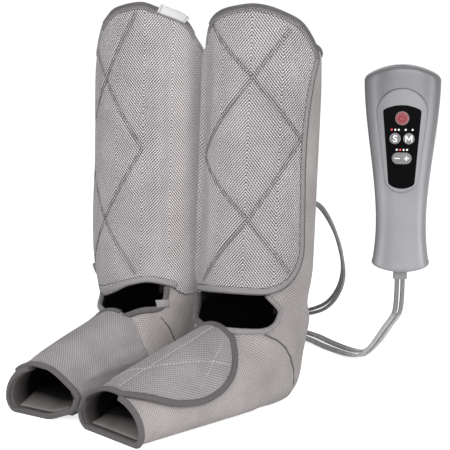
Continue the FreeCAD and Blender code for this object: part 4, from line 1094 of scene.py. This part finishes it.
def flapHinge(side):  # a short run across the sewn edge, not used for blending
    seam = calfPoint(flap["hinge"], 270.0)
    way = np.array([-math.sin(math.radians(flap["hinge"])), math.cos(math.radians(flap["hinge"])), 0.0])
    ends = placeWrap(np.array([seam - way * 8, seam + way * 8]), side)
    return tuple(ends[0]), tuple(ends[1])


def joinFlap(obj, side):
    start, end = flapHinge(side)
    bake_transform(obj)


def sheetMesh(name, side, sheet):  # a puffed sheet placed on its side, with its lined inner face
    faces = sheet["faces"] if side > 0 else flip(sheet["faces"])
    points, closed, uvs = closeSheet(placeWrap(sheet["outer"], side), faces, sheet["uvs"], sheet["thick"])
    return lineInside(meshFrom(name, points, closed, uvs), len(faces))


def buildCalfFlap(sideName, side, sheet):
    name = sideName + "CalfFlap"
    mesh = sheetMesh(name, side, sheet)
    # painted shade: the groove attribute darkens the mesh's colour along the quilting
    sewn = mesh.attributes.new("groove", "FLOAT", "POINT")
    sewn.data.foreach_set("value", np.concatenate([sheet["groove"], np.zeros(len(sheet["groove"]))]))
    obj = makeObject(name, cleanMesh(mesh, 1e-5), finish["mesh"], finish["lining"])
    subdivide(obj)
    joinFlap(obj, side)
    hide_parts(sideName + "_calf_flap")


def flapEdge(sheet, inset):  # the flap's outline moved inwards, split into lower line with free edge, and top
    flat = sheet["flat"]
    line = resample(np.vstack([flat[0], flat[1:-1, -1], flat[-1, ::-1]]), 2.5)
    way = unit(np.gradient(line, axis=0))
    moved = line + np.stack([-way[:, 1], way[:, 0]], axis=1) * inset
    corner = flat[-1, -1]
    turn = int(np.argmin(np.linalg.norm(line - corner, axis=1)))
    first = np.nonzero(moved[:turn, 0] > math.radians(sheet["facts"]["strip"]) * flap["radius"])[0][0]
    return moved[first:turn + 1], moved[turn:-3]


def boundPart(line, facts):  # the part of a top line that carries the dark tape
    turned = np.degrees(line[:, 0] / flap["radius"])
    return line[(turned > facts["bound"][0]) & (turned < facts["bound"][1])]


def onFlap(flat, facts, lift):
    flat = np.asarray(flat, float)
    return flapPoint(np.degrees(flat[:, 0] / flap["radius"]), flat[:, 1], facts, lift)


def flapOut(path, facts):
    x, y, z = path.T
    return unit(np.stack([x - facts["middleX"], y - calfAxis(z), np.zeros_like(z)], axis=1))


def flapTape(kind, sideName, side, flat, facts, width, height, material):
    path = onFlap(flat, facts, -1.0)
    out = mirrorOut(flapOut(path, facts), side)
    obj = band(sideName + kind, placeWrap(path, side), out, width * mm, height * mm, finish[material])
    joinFlap(obj, side)


def besideLine(line, gap):  # each leg of a sewn line, moved to one side
    rows = []
    for a, b in zip(line[:-1], line[1:]):
        a = np.array(a, float)
        b = np.array(b, float)
        way = unit(b - a)
        aside = np.array([-way[1], way[0]]) * gap
        rows.append(resample(np.array([a + way * 2, b - way * 2]) + aside, 3.0))
    return rows


for sideName, side in pair["sides"].items():
    sheet = flapSheet(sideName)
    facts = sheet["facts"]
    buildCalfFlap(sideName, side, sheet)
    inset, wide, high = flap["edgeStrip"]
    lower, upper = flapEdge(sheet, inset)
    flapTape("FlapStrip", sideName, side, np.vstack([lower, upper[1:]]), facts, wide, high, "binding")
    inset, wide, high = flap["topBinding"]
    upper = boundPart(flapEdge(sheet, inset)[1], facts)
    place = np.arange(len(upper))
    wide = wide + 3.0 * smoothStep(0, 9, np.minimum(place, place[::-1]))  # narrow at both ends
    # painted shade: the flap's top takes the darker copy of the tape
    flapTape("FlapTopBinding", sideName, side, upper, facts, wide, high, "darkAndShadedBinding")
    inset, wide, high = flap["edgeCord"]
    flapTape("FlapEdgeCord", sideName, side, flapEdge(sheet, inset)[0], facts, wide, high, "darkAndShadedBinding")
    lower, upper = flapEdge(sheet, 7.0)
    rows = [onFlap(lower, facts, 0.3), onFlap(boundPart(upper, facts), facts, 0.3)]
    rows.append(onFlap(boundPart(flapEdge(sheet, 4.6)[1], facts), facts, 1.3))
    seam = stitches(sideName + "FlapStitches", [placeWrap(r, side) for r in rows], finish["thread"], "edge")
    joinFlap(seam, side)
    rows = []
    for line in sheet["quilt"]:
        for gap in (-flap["seamGap"], flap["seamGap"]):
            for row in besideLine(line, gap):
                rows.append(placeWrap(onFlap(row, facts, liftAt(sheet, row) + 0.35), side))
    sewn = stitches(sideName + "QuiltStitches", rows, finish["thread"], "quilt")
    joinFlap(sewn, side)
print("calf flaps quilted")


# foot flaps: leaf over the instep, sewn along the inner side
instep = {"grow": 3.5, "rise": 7.0, "toeRise": 3.0, "thick": 4.8, "thin": 2.2, "back": -97.0, "front": -242.0,
          "puff": 3.2, "groove": 1.2, "start": 12.0, "rows": 54, "columns": 60, "tape": (7.2, 4.8),
          "hinge": ((-50.0, -173.0, 25.0), (-44.5, -173.0, 34.5)),
          "left": {"rear": 26, "shift": (0.0, 0.0), "toe": ((-242, 50), (-230, 48))},
          "right": {"rear": 38, "shift": (-26.0, 14.0), "toe": ((-242, 42), (-230, 41))},
          "edge": ((-191, 34), (-149, 32), (-127, 41), (-113, 55), (-104, 72), (-97, 87)),
          "quilt": (((-231, 75), (-214, 83), (-194, 89), (-166, 95), (-132, 104), (-99, 111)),
                    ((-217, 48), (-200, 87), (-183, 102), (-162, 119), (-141, 135), (-119, 155)),
                    ((-114, 134), (-136, 140), (-151, 146), (-162, 150)))}


def instepSize(y):
    half = stationAt(foot["halfWidths"], y) + instep["grow"]
    rise = instep["toeRise"] + (instep["rise"] - instep["toeRise"]) * smoothStep(-242, -205, y)
    high = stationAt(foot["heights"], y) + rise - foot["floorCorner"]
    return half, high


def instepPoint(y, beta, grow=0.0):  # beta 0 on the inner side, 90 on top, 180 outside
    half, high = instepSize(y)
    turn = np.radians(beta)
    x = instep["grow"] - (half + grow) * np.cos(turn)
    z = foot["floorCorner"] + (high + grow) * np.sin(turn)
    inner = -footAcross(np.asarray(y, float), np.asarray(z, float)) - 0.8 - grow
    share = np.where(np.asarray(beta) < 60, smoothStep(26, 52, z), 1.0)
    return np.stack([inner + (x - inner) * share, np.broadcast_to(y, np.shape(x)) * 1.0, z], axis=-1)


def instepBeta(y, z, outside):  # turn at which the flap's last reaches a height
    turn = math.degrees(math.asin(min(0.999, (z - foot["floorCorner"]) / float(instepSize(y)[1]))))
    return 180 - turn if outside else turn


def instepQuilt(sideName):  # sewn lines; the right flap's lie nearer the toe and further out
    return [np.array(line, float) + np.array(instep[sideName]["shift"]) for line in instep["quilt"]]


def insideSheet(flat, line):  # the part of a line that lies on the sheet
    last = np.interp(line[:, 0], flat[:, 0, 0], flat[:, -1, 1])
    return line[(line[:, 0] > instep["front"] + 2) & (line[:, 0] < instep["back"]) & (line[:, 1] < last)]


def instepSheet(sideName):
    edgeLine = instep[sideName]["toe"] + instep["edge"]
    grid = []
    flat = []
    for y in np.linspace(instep["front"], instep["back"], instep["rows"]):
        ends = instepBeta(y, instep["start"], False), instepBeta(y, float(through(edgeLine, y)), True)
        row = instepPoint(np.full(instep["columns"], y), np.linspace(*ends, instep["columns"]))
        grid.append(row)
        flat.append(np.stack([np.full(instep["columns"], y), runLength(row)], axis=1))
    grid = np.array(grid)
    flat = np.array(flat)
    gap = lineDistance(flat, instepQuilt(sideName)).ravel()
    edge = np.minimum.reduce([flat[:, :, 1], flat[:, -1:, 1] - flat[:, :, 1], flat[:, :, 0] - instep["front"],
                              instep["back"] - flat[:, :, 0]]).ravel()
    points = grid.reshape(-1, 3)
    middle = points * np.array([0, 1, 0]) + np.array([0, 0, 10])
    faces = facePointsOut(points, gridFaces(*grid.shape[:2]), middle)
    hold = ((edge < 6.0) | (gap < 1.7) | (flat[:, :, 1].ravel() < 26)).astype(float)
    lift = swell(sideName + "InstepSheet", points * mm, faces, hold, instep["puff"] * mm) / mm
    lift = lift - instep["groove"] * np.exp(-(gap / 2.2) ** 2)
    thick = instep["thin"] + (instep["thick"] - instep["thin"]) * smoothStep(0, 9, edge) + np.maximum(lift, 0)
    return {"grid": grid, "flat": flat, "faces": faces, "thick": thick * mm, "uvs": flat.reshape(-1, 2) * mm,
            "outer": points + vertexNormals(points, faces) * lift[:, None]}


def joinInstep(obj):
    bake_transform(obj)


def buildInstep(sideName, side, sheet):
    name = sideName + "FootFlap"
    mesh = cleanMesh(sheetMesh(name, side, sheet), 1e-5)
    obj = makeObject(name, mesh, finish["footSide"], finish["inside"])
    subdivide(obj)
    joinInstep(obj)
    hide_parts(sideName + "_foot_flap")


def instepOutward(path):
    return unit(path * np.array([1, 0, 1]) - np.array([0, 0, 12]))


def instepTape(sideName, side, path):  # dark binding round the leaf's edge
    path = resample(path, 3.0)
    out = mirrorOut(instepOutward(path), side)
    wide, high = instep["tape"]
    obj = band(sideName + "FootFlapBinding", placeWrap(path, side), out, wide * mm, high * mm,
               finish["darkAndShadedBinding"])
    joinInstep(obj)


for sideName, side in pair["sides"].items():
    sheet = instepSheet(sideName)
    grid = sheet["grid"]
    buildInstep(sideName, side, sheet)
    edge = np.vstack([grid[1, :-1], grid[1:-1, -2], grid[-2, -2:instep[sideName]["rear"]:-1]])
    instepTape(sideName, side, edge)
    quilting = []
    for line in instepQuilt(sideName):
        line = insideSheet(sheet["flat"], resample(line, 4.0))
        path = sheetAt(sheet["outer"], sheet, line, 0.3)
        quilting.append(placeWrap(path + instepOutward(path) * 0.6, side))
    sewn = stitches(sideName + "FootQuiltStitches", quilting, finish["lightThread"], "instep")
    joinInstep(sewn)
print("foot flaps quilted")


# sewn patches: hook and loop tapes under the flaps' free edges, the blank tag and a folded binding end
tape = {"calfTheta": (-17.0, -3.0), "calfZ": (160.0, 344.0), "footY": (-205.0, -150.0), "footZ": (37.0, 47.0),
        "thick": 0.9, "rows": 40, "columns": 8, "stitchRow": 1}
tag = {"alphaLow": (-129.5, -158.0), "alphaHigh": (-132.7, -164.0), "below": 5.2, "tall": 9.8, "lift": 2.4,
       "thick": 0.7}
foldedEnd = {"y": (-84.0, -72.0), "z": (91.5, 100.5), "lift": 4.0, "thick": 2.0, "crown": 1.6, "count": 9}


def clothPatch(name, side, outer, middle, thick, material):  # outer face given as a grid of boot points
    rows, columns = outer.shape[:2]
    points = outer.reshape(-1, 3)
    faces = facePointsOut(points, gridFaces(rows, columns), middle.reshape(-1, 3))
    faces = flip(faces) if side < 0 else faces
    across = np.linalg.norm(outer - outer[:, :1], axis=-1)
    along = np.linalg.norm(outer - outer[:1], axis=-1)
    uvs = np.stack([across, along], axis=-1).reshape(-1, 2) * mm
    placed, closed, uvs = closeSheet(placeWrap(points, side), faces, uvs, np.full(len(points), thick * mm))
    return makeObject(name, cleanMesh(meshFrom(name, placed, closed, uvs), 1e-5), material)


def patchSeam(name, side, outer, material):  # sewing row round a patch, a little in from its edge
    i = tape["stitchRow"]
    ring = np.vstack([outer[i, 1:-1], outer[i:-i, -2], outer[-1 - i, -2:0:-1], outer[-1 - i:i - 1:-1, 1]])
    return stitches(name, [placeWrap(ring, side)], material, "patch")


def between(ends, count):
    return np.linspace(ends[0], ends[1], count)


def calfTapes(sideName, side):
    facts = flap[sideName]
    theta, z = np.meshgrid(between(tape["calfTheta"], tape["columns"]), between(tape["calfZ"], tape["rows"]))
    middle = calfMiddle(z)
    loop = bulge(calfPoint(theta, z, tape["thick"]))
    piece = clothPatch(sideName + "CalfLoopPatch", side, loop, middle, tape["thick"], finish["loop"])
    seam = patchSeam(sideName + "CalfLoopStitches", side, loop, finish["thread"])
    attach(piece, "wraps", "loop_tape", sideName + "_calf_loop_patch")
    attach(seam, "wraps", "loop_tape")
    alpha = theta + through(facts["free"], z) - flap["edge"]
    hook = flapPoint(alpha, z, facts, -flap["thin"])
    piece = clothPatch(sideName + "CalfHookStrip", side, hook, middle, tape["thick"], finish["hook"])
    joinFlap(piece, side)
    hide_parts(sideName + "_calf_hook_strip")


def footTapes(sideName, side):
    z, y = np.meshgrid(between(tape["footZ"], tape["columns"]), between(tape["footY"], tape["rows"]))
    middle = np.stack([np.zeros_like(y), y, z * 0.5], axis=-1)
    loop = np.stack([footAcross(y, z) + tape["thick"], y, z], axis=-1)
    piece = clothPatch(sideName + "FootLoopPatch", side, loop, middle, tape["thick"] + 0.6, finish["loop"])
    attach(piece, "wraps", "loop_tape", sideName + "_foot_loop_patch")
    beta = np.vectorize(lambda place, height: instepBeta(place, height, True))(y, z + 1.5)
    hook = instepPoint(y, beta, -instep["thick"] + 0.2)
    piece = clothPatch(sideName + "FootHookStrip", side, hook, middle, tape["thick"], finish["hook"])
    joinInstep(piece)
    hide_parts(sideName + "_foot_hook_strip")


for sideName, side in pair["sides"].items():
    calfTapes(sideName, side)
    footTapes(sideName, side)


def buildTag():  # blank tag over the right flap's top binding
    facts = flap["right"]
    across, up = np.meshgrid(np.linspace(0, 1, 15), np.linspace(0, 1, 6))
    low, high = [a + (b - a) * across for a, b in (tag["alphaLow"], tag["alphaHigh"])]
    alpha = low + (high - low) * up
    z = through(facts["top"], alpha) - tag["below"] + tag["tall"] * up
    outer = flapPoint(alpha, z, facts, tag["lift"])
    obj = clothPatch("wovenTag", -1, outer, calfMiddle(z), tag["thick"], finish["tag"])
    joinFlap(obj, -1)
    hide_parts("woven_tag")
    ends = [placeWrap(outer[:, k], -1) for k in (1, -2)]
    seam = stitches("tagStitches", ends, finish["thread"], "tag")
    joinFlap(seam, -1)


def buildFoldedEnd():  # binding folded over at the rear end of the right ankle opening
    count = foldedEnd["count"]
    z, y = np.meshgrid(between(foldedEnd["z"], count), between(foldedEnd["y"], count))
    arch = np.sin(np.linspace(0, math.pi, count))
    crown = foldedEnd["crown"] * arch[:, None] * arch[None, :]
    outer = np.stack([-footAcross(y, z) - foldedEnd["lift"] - crown, y, z], axis=-1)
    middle = outer * np.array([0, 1, 1])
    obj = clothPatch("rightFoldedBinding", -1, outer, middle, foldedEnd["thick"], finish["binding"])
    attach(obj, "wraps", "mesh_cloth")


buildTag()
buildFoldedEnd()
print("tapes and tag sewn on")


# controller housing
housing = {"stations": ((0.0, 29.0, 19.0), (50.0, 24.2, 18.5), (104.0, 28.6, 22.2), (197.0, 36.0, 24.0)),
           "deepest": 24.0, "topDrop": 11.0, "bottomRise": 9.0, "arcHalf": 37.2, "full": 2.7, "around": 72,
           "rows": 60, "edge": 4.0, "lip": 2.5, "underInset": 18.0, "capInset": 15.0}


def housingSize(z):  # cubic through the four stations
    wide = 0.0
    deep = 0.0
    for here, w, d in housing["stations"]:
        share = 1.0
        for other, _, _ in housing["stations"]:
            if other != here:
                share = share * (z - other) / (here - other)
        wide = wide + share * w
        deep = deep + share * d
    return wide, np.minimum(deep, housing["deepest"])


def housingRing(t, inset, drop):  # one ring of the body; t runs 0 at the lower edge to 1 at the upper
    turn = np.linspace(0, 2 * math.pi, housing["around"], endpoint=False)
    c = np.sign(np.cos(turn)) * np.abs(np.cos(turn)) ** (2 / housing["full"])
    s = np.sign(np.sin(turn)) * np.abs(np.sin(turn)) ** (2 / housing["full"])
    z = np.full_like(turn, controller["length"] * t)
    for _ in range(2):
        wide, deep = housingSize(np.clip(z, 0, controller["length"]))
        x = (wide - inset) * c
        low = housing["bottomRise"] * (x / housing["arcHalf"]) ** 2
        high = controller["length"] - housing["topDrop"] * (x / housing["arcHalf"]) ** 2
        z = low + (high - low) * t
    y = (deep - inset) * s
    return np.stack([x, y, z + drop], axis=1)


def buildHousing():
    rings = []
    r = housing["edge"]
    lip = housing["lip"]
    for k in range(6):  # under face, then the lower lip
        rings.append(housingRing(0.0, housing["underInset"] - (housing["underInset"] - lip) * k / 5, 0.0))
    for turn in np.linspace(0, math.pi / 2, 5)[1:]:
        rings.append(housingRing(0.0, lip * (1 - math.sin(turn)), lip * (1 - math.cos(turn))))
    for t in np.linspace(0.014, 1 - r / controller["length"], housing["rows"])[1:]:
        rings.append(housingRing(t, 0.0, 0.0))
    for turn in np.linspace(0, math.pi / 2, 6)[1:]:  # upper edge, then the top face
        rings.append(housingRing(1.0, r * (1 - math.cos(turn)), -r * (1 - math.sin(turn))))
    for k in range(1, 6):
        rings.append(housingRing(1.0, r + housing["capInset"] * k / 5, 0.0))
    n = housing["around"]
    faces = tubeFaces(len(rings), n)
    faces.append(tuple(reversed(range(n))))
    faces.append(tuple((len(rings) - 1) * n + i for i in range(n)))
    mesh = meshFrom("controllerHousing", placeController(np.vstack(rings)), faces)
    obj = makeObject("controllerHousing", cleanMesh(mesh, 1e-5), finish["silver"])
    attach(obj, "handset", "shell_silver", "front_shell", "rear_shell")


def archPoints(half, shoulder, crown, steps=20):  # arc from one shoulder over the crown to the other
    rise = crown - shoulder
    reach = (half ** 2 + rise ** 2) / (2 * abs(rise))
    middle = crown - math.copysign(reach, rise)
    turn = 2 * math.atan2(abs(rise), half)
    angles = [turn * (2 * k / steps - 1) for k in range(steps + 1)]
    return [(reach * math.sin(a), middle + math.copysign(reach, rise) * math.cos(a)) for a in angles]


def tongueOutline(shape):  # domed at the top and rounded at the bottom
    upper = archPoints(shape["topHalf"], shape["shoulder"], shape["top"])
    lower = archPoints(shape["bottomHalf"], shape["foot"], shape["bottom"])
    return np.array(upper + lower[::-1])


def roundCorners(outline, reach):  # evens the outline and softens its four corners
    closed = resample(np.vstack([outline, outline[:1]]), 0.5)[:-1]
    count = int(reach / 0.5)
    weights = np.hanning(2 * count + 1)[1:-1]
    weights /= weights.sum()
    half = len(weights) // 2
    padded = np.vstack([closed[-half:], closed, closed[:half]])
    return np.stack([np.convolve(padded[:, k], weights, mode="valid") for k in (0, 1)], axis=1)


def plate(name, outline, front, back, bevel, material):  # raised plate with a rounded front edge
    count = len(outline)
    middle = outline.mean(axis=0)
    rings = []
    shapes = [(0.0, back), (0.0, front - bevel)]
    for turn in np.linspace(0, math.pi / 2, 5)[1:]:
        shapes.append((bevel * (1 - math.cos(turn)), front - bevel + bevel * math.sin(turn)))
    for inset, level in shapes:
        ring = outline - unit(outline - middle) * inset
        rings.append(np.stack([ring[:, 0], np.full(count, -level), ring[:, 1]], axis=1))
    faces = tubeFaces(len(rings), count)
    faces.append(tuple(range(count)))
    faces.append(tuple((len(rings) - 1) * count + i for i in reversed(range(count))))
    mesh = cleanMesh(meshFrom(name, placeController(np.vstack(rings)), faces), 1e-6)
    mesh.set_sharp_from_angle(angle=math.radians(50))
    return makeObject(name, mesh, material)


def roundOutline(x, z, radius, count=40):
    turn = np.linspace(0, 2 * math.pi, count, endpoint=False)
    return np.stack([x + radius * np.cos(turn), z + radius * np.sin(turn)], axis=1)


def pillOutline(x, z, half, radius, count=16):
    right = np.linspace(-math.pi / 2, math.pi / 2, count)
    left = np.linspace(math.pi / 2, 3 * math.pi / 2, count)
    points = [(x + half - radius + radius * math.cos(a), z + radius * math.sin(a)) for a in right]
    points += [(x - half + radius + radius * math.cos(a), z + radius * math.sin(a)) for a in left]
    return np.array(points)


# letter outlines in hundredths of the letter's size
strokes = {"M": ((-36, -35), (-36, 35), (-22, 35), (0, -3), (22, 35), (36, 35), (36, -35), (23, -35),
                 (23, 13), (5, -19), (-5, -19), (-23, 13), (-23, -35))}


def letterCurve(name, text, size):
    if text in strokes:
        curve = bpy.data.curves.new(name, "CURVE")
        curve.dimensions = "2D"
        curve.fill_mode = "BOTH"
        spline = curve.splines.new("POLY")
        spline.points.add(len(strokes[text]) - 1)
        for point, (x, y) in zip(spline.points, strokes[text]):
            point.co = (x * size / 100, y * size / 100, 0.0, 1.0)
        spline.use_cyclic_u = True
    else:
        curve = bpy.data.curves.new(name, "FONT")
        curve.body = text
        curve.size = size
        curve.offset = size * 0.022
    curve.extrude = 0.12
    return curve


def sign(name, text, x, z, size, level, material):  # a letter or mark lying on a key
    curve = letterCurve(name, text, size)
    work = makeObject(name, curve)
    bpy.context.view_layer.update()
    mesh = bpy.data.meshes.new_from_object(work.evaluated_get(bpy.context.evaluated_depsgraph_get()))
    bpy.data.objects.remove(work)
    points = np.array([v.co[:] for v in mesh.vertices])
    middle = (points.min(axis=0) + points.max(axis=0)) / 2
    moved = np.stack([points[:, 0] - middle[0] + x, np.full(len(points), -level) - points[:, 2],
                      points[:, 1] - middle[1] + z], axis=1)
    for v, p in zip(mesh.vertices, placeController(moved)):
        v.co = Vector(p)
    mesh.materials.clear()
    return makeObject(name, cleanMesh(mesh, 1e-7), material)


seat = {"front": 25.4, "top": 177.5, "shoulder": 153.0, "foot": 88.0, "bottom": 78.0, "topHalf": 24.0,
        "bottomHalf": 15.5, "sunk": 0.1, "back": 14.0, "bevel": 2.2}
panel = {"top": 161.4, "shoulder": 156.6, "foot": 86.5, "bottom": 82.2, "topHalf": 18.0, "bottomHalf": 12.3,
         "corner": 4.0, "proud": 0.15, "back": 22.0, "bevel": 0.5}
keys = {"proud": 1.75, "back": 21.0, "bevel": 0.9, "powerBevel": 0.8, "letter": 9.2, "mark": 9.0,
        "markX": 4.4, "printLift": 0.05, "power": (0.0, 149.0, 5.6), "s": (-6.4, 130.0, 5.3),
        "m": (6.4, 130.0, 5.3), "rocker": (0.0, 111.4, 9.3, 5.5)}
powerRing = {"wider": 0.9, "proud": 0.5, "back": 23.0, "bevel": 0.4}
powerSign = {"radius": 2.9, "turn": (125, 415), "strokeLow": 0.6, "strokeTall": 3.2, "width": 0.9,
             "height": 0.4}
lens = {"radius": 0.95, "proud": 0.45, "back": 24.0, "bevel": 0.4, "lit": (0, 6),
        "spots": ((-9.6, 138.2), (-6.3, 138.2), (-3.0, 138.2), (3.4, 138.2), (9.8, 138.2),
                  (-4.7, 119.4), (-1.5, 119.4), (1.7, 119.4), (4.9, 119.4))}
keyFront = seat["front"] + keys["proud"]


def buildPanel():  # raised seat and black panel
    obj = plate("panelSeat", tongueOutline(seat), seat["front"] - seat["sunk"], seat["back"], seat["bevel"],
                finish["silver"])
    attach(obj, "handset", "shell_silver")
    shape = roundCorners(tongueOutline(panel), panel["corner"])
    obj = plate("keyPanel", shape, seat["front"] + panel["proud"], panel["back"], panel["bevel"],
                finish["panel"])
    attach(obj, "handset", "panel_black", "key_panel")


def buildPowerKey():  # red cap in a grey ring, its sign an open ring with a stroke at its top
    x, z, radius = keys["power"]
    obj = plate("powerRing", roundOutline(x, z, radius + powerRing["wider"]),
                seat["front"] + powerRing["proud"], powerRing["back"], powerRing["bevel"], finish["ringGrey"])
    attach(obj, "handset", "key_grey")
    obj = plate("powerKey", roundOutline(x, z, radius), keyFront, keys["back"], keys["powerBevel"],
                finish["keyRed"])
    attach(obj, "power_button", "power_red", "power_button")
    turn = np.radians(np.linspace(*powerSign["turn"], 30))
    reach = powerSign["radius"]
    ring = np.stack([x + reach * np.cos(turn), np.full(30, -keyFront), z + reach * np.sin(turn)], axis=1)
    rise = np.linspace(powerSign["strokeLow"], powerSign["strokeLow"] + powerSign["strokeTall"], 9)
    stroke = np.array([(x, -keyFront, z + h) for h in rise])
    for name, path in (("powerMarkRing", ring), ("powerMarkStroke", stroke)):
        out = np.zeros_like(path)
        forward = placeController(out - np.array([0, 1.0, 0])) - placeController(out)
        obj = band(name, placeController(path), forward, powerSign["width"] * mm, powerSign["height"] * mm,
                   finish["markRed"])
        attach(obj, "power_button", "power_red")


def greyKey(name, outline, body):
    obj = plate(name, outline, keyFront, keys["back"], keys["bevel"], finish["keyGrey"])
    attach(obj, body, "key_grey", body)


def keySign(name, text, x, z, size, body):
    obj = sign(name, text, x, z, size, keyFront + keys["printLift"], finish["print"])
    attach(obj, body, "key_grey")


buildHousing()
buildPanel()
buildPowerKey()
for label in ("s", "m"):
    x, z, radius = keys[label]
    greyKey(label + "Key", roundOutline(x, z, radius), label + "_key")
    keySign(label + "Letter", label.upper(), x, z, keys["letter"], label + "_key")
greyKey("levelRocker", pillOutline(*keys["rocker"]), "level_rocker")
for label, text, x in (("minusMark", "–", -keys["markX"]), ("plusMark", "+", keys["markX"])):
    keySign(label, text, x, keys["rocker"][1], keys["mark"], "level_rocker")
for k, (x, z) in enumerate(lens["spots"]):
    glow = finish["lensOn" if k in lens["lit"] else "lensOff"]
    dot = plate("lens%d" % (k + 1), roundOutline(x, z, lens["radius"], 14), seat["front"] + lens["proud"],
                lens["back"], lens["bevel"], glow)
    attach(dot, "handset", "lens_red", *(["indicator_lenses"] if k == 0 else []))
print("controller built")

# CAD nodes that stay
nodeFinish = {"left_hose_grommet": "rubber", "right_hose_grommet": "rubber", "hose_plug": "plug",
              "hose_socket": "plug", "circuit_board": "board", "key_switches": "switch",
              "power_inlet": "switch", "pump_motor": "motor", "air_valves": "motor", "motor_rotor": "screw",
              "shell_screws": "screw", "pump_head": "pump"}
for node, choice in nodeFinish.items():
    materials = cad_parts[node].data.materials
    materials.clear()
    materials.append(finish[choice])

# pale floor, soft studio light, white backdrop
studio = {"floorHalf": 6, "floorDrop": 0.0006, "floorGlow": 0.74, "ambient": 0.42}


def seenRays(tree):  # 1 for rays that see the backdrop: straight, mirrored or through glass
    rays = addNode(tree, "ShaderNodeLightPath").outputs
    mirrored = calc(tree, "MAXIMUM", rays["Is Glossy Ray"], rays["Is Transmission Ray"])
    return calc(tree, "MAXIMUM", rays["Is Camera Ray"], mirrored)


half = studio["floorHalf"]
floorCorners = [(-half, -half, 0), (half, -half, 0), (half, half, 0), (-half, half, 0)]
floorMesh = meshFrom("floor", floorCorners, [(0, 1, 2, 3)])
floorMaterial, floorTree, floorShader, _ = newMaterial("paleFloor")
floorGlow = calc(floorTree, "MULTIPLY", seenRays(floorTree), studio["floorGlow"])
fillInputs(floorTree, floorShader, {"Base Color": (0.9, 0.9, 0.9, 1), "Roughness": 0.9,
                                    "Specular IOR Level": 0.0, "Emission Color": (1, 1, 1, 1),
                                    "Emission Strength": floorGlow})
floor = makeObject("floor", floorMesh, floorMaterial)
floor.location.z = -studio["floorDrop"]
world = bpy.data.worlds.new("studioWorld")
scene.world = world
world.use_nodes = True
worldTree = world.node_tree
worldGlow = calc(worldTree, "MULTIPLY_ADD", seenRays(worldTree), 1 - studio["ambient"], studio["ambient"])
fillInputs(worldTree, worldTree.nodes["Background"], {"Color": (1, 1, 1, 1), "Strength": worldGlow})

# lamps: place, aim, size and watts; three small ones fill the gap between the boots,
# and two tall ones light the controller's edges
lamps = {"keyLamp": ((1.0, -0.88, 0.72), (0.0, 0.0, 0.2), (1.0, 1.0), 11.5),
         "topLamp": ((0.9, -0.3, 2.2), (0.0, 0.0, 0.2), (1.4, 1.4), 5),
         "gapLamp": ((-0.072, 0.041, 0.26), (-0.184, 0.051, 0.26), (0.06, 0.3), 0.035),
         "slotLamp": ((-0.0735, 0.066, 0.26), (-0.13, 0.075, 0.26), (0.03, 0.3), 0.017),
         "toeLamp": ((-0.072, -0.039, 0.115), (-0.164, -0.024, 0.06), (0.12, 0.06), 0.021),
         "leftBand": ((-0.225, -0.76, 0.34), (0.197, 0.035, 0.28), (0.26, 0.7), 1.8),
         "rightBand": ((0.894, 0.096, 0.30), (0.197, 0.035, 0.28), (0.26, 0.7), 1.8)}
for name, (place, aim, size, power) in lamps.items():
    data = bpy.data.lights.new(name, "AREA")
    data.shape = "RECTANGLE"
    data.size, data.size_y = size
    data.energy = power
    lamp = bpy.data.objects.new(name, data)
    lamp.location = place
    lamp.rotation_euler = (Vector(aim) - Vector(place)).to_track_quat("-Z", "Y").to_euler()
    lamp.visible_camera = False
    scene.collection.objects.link(lamp)
scene.view_settings.view_transform = "Standard"
print("studio lit:", len(lamps), "lamps")
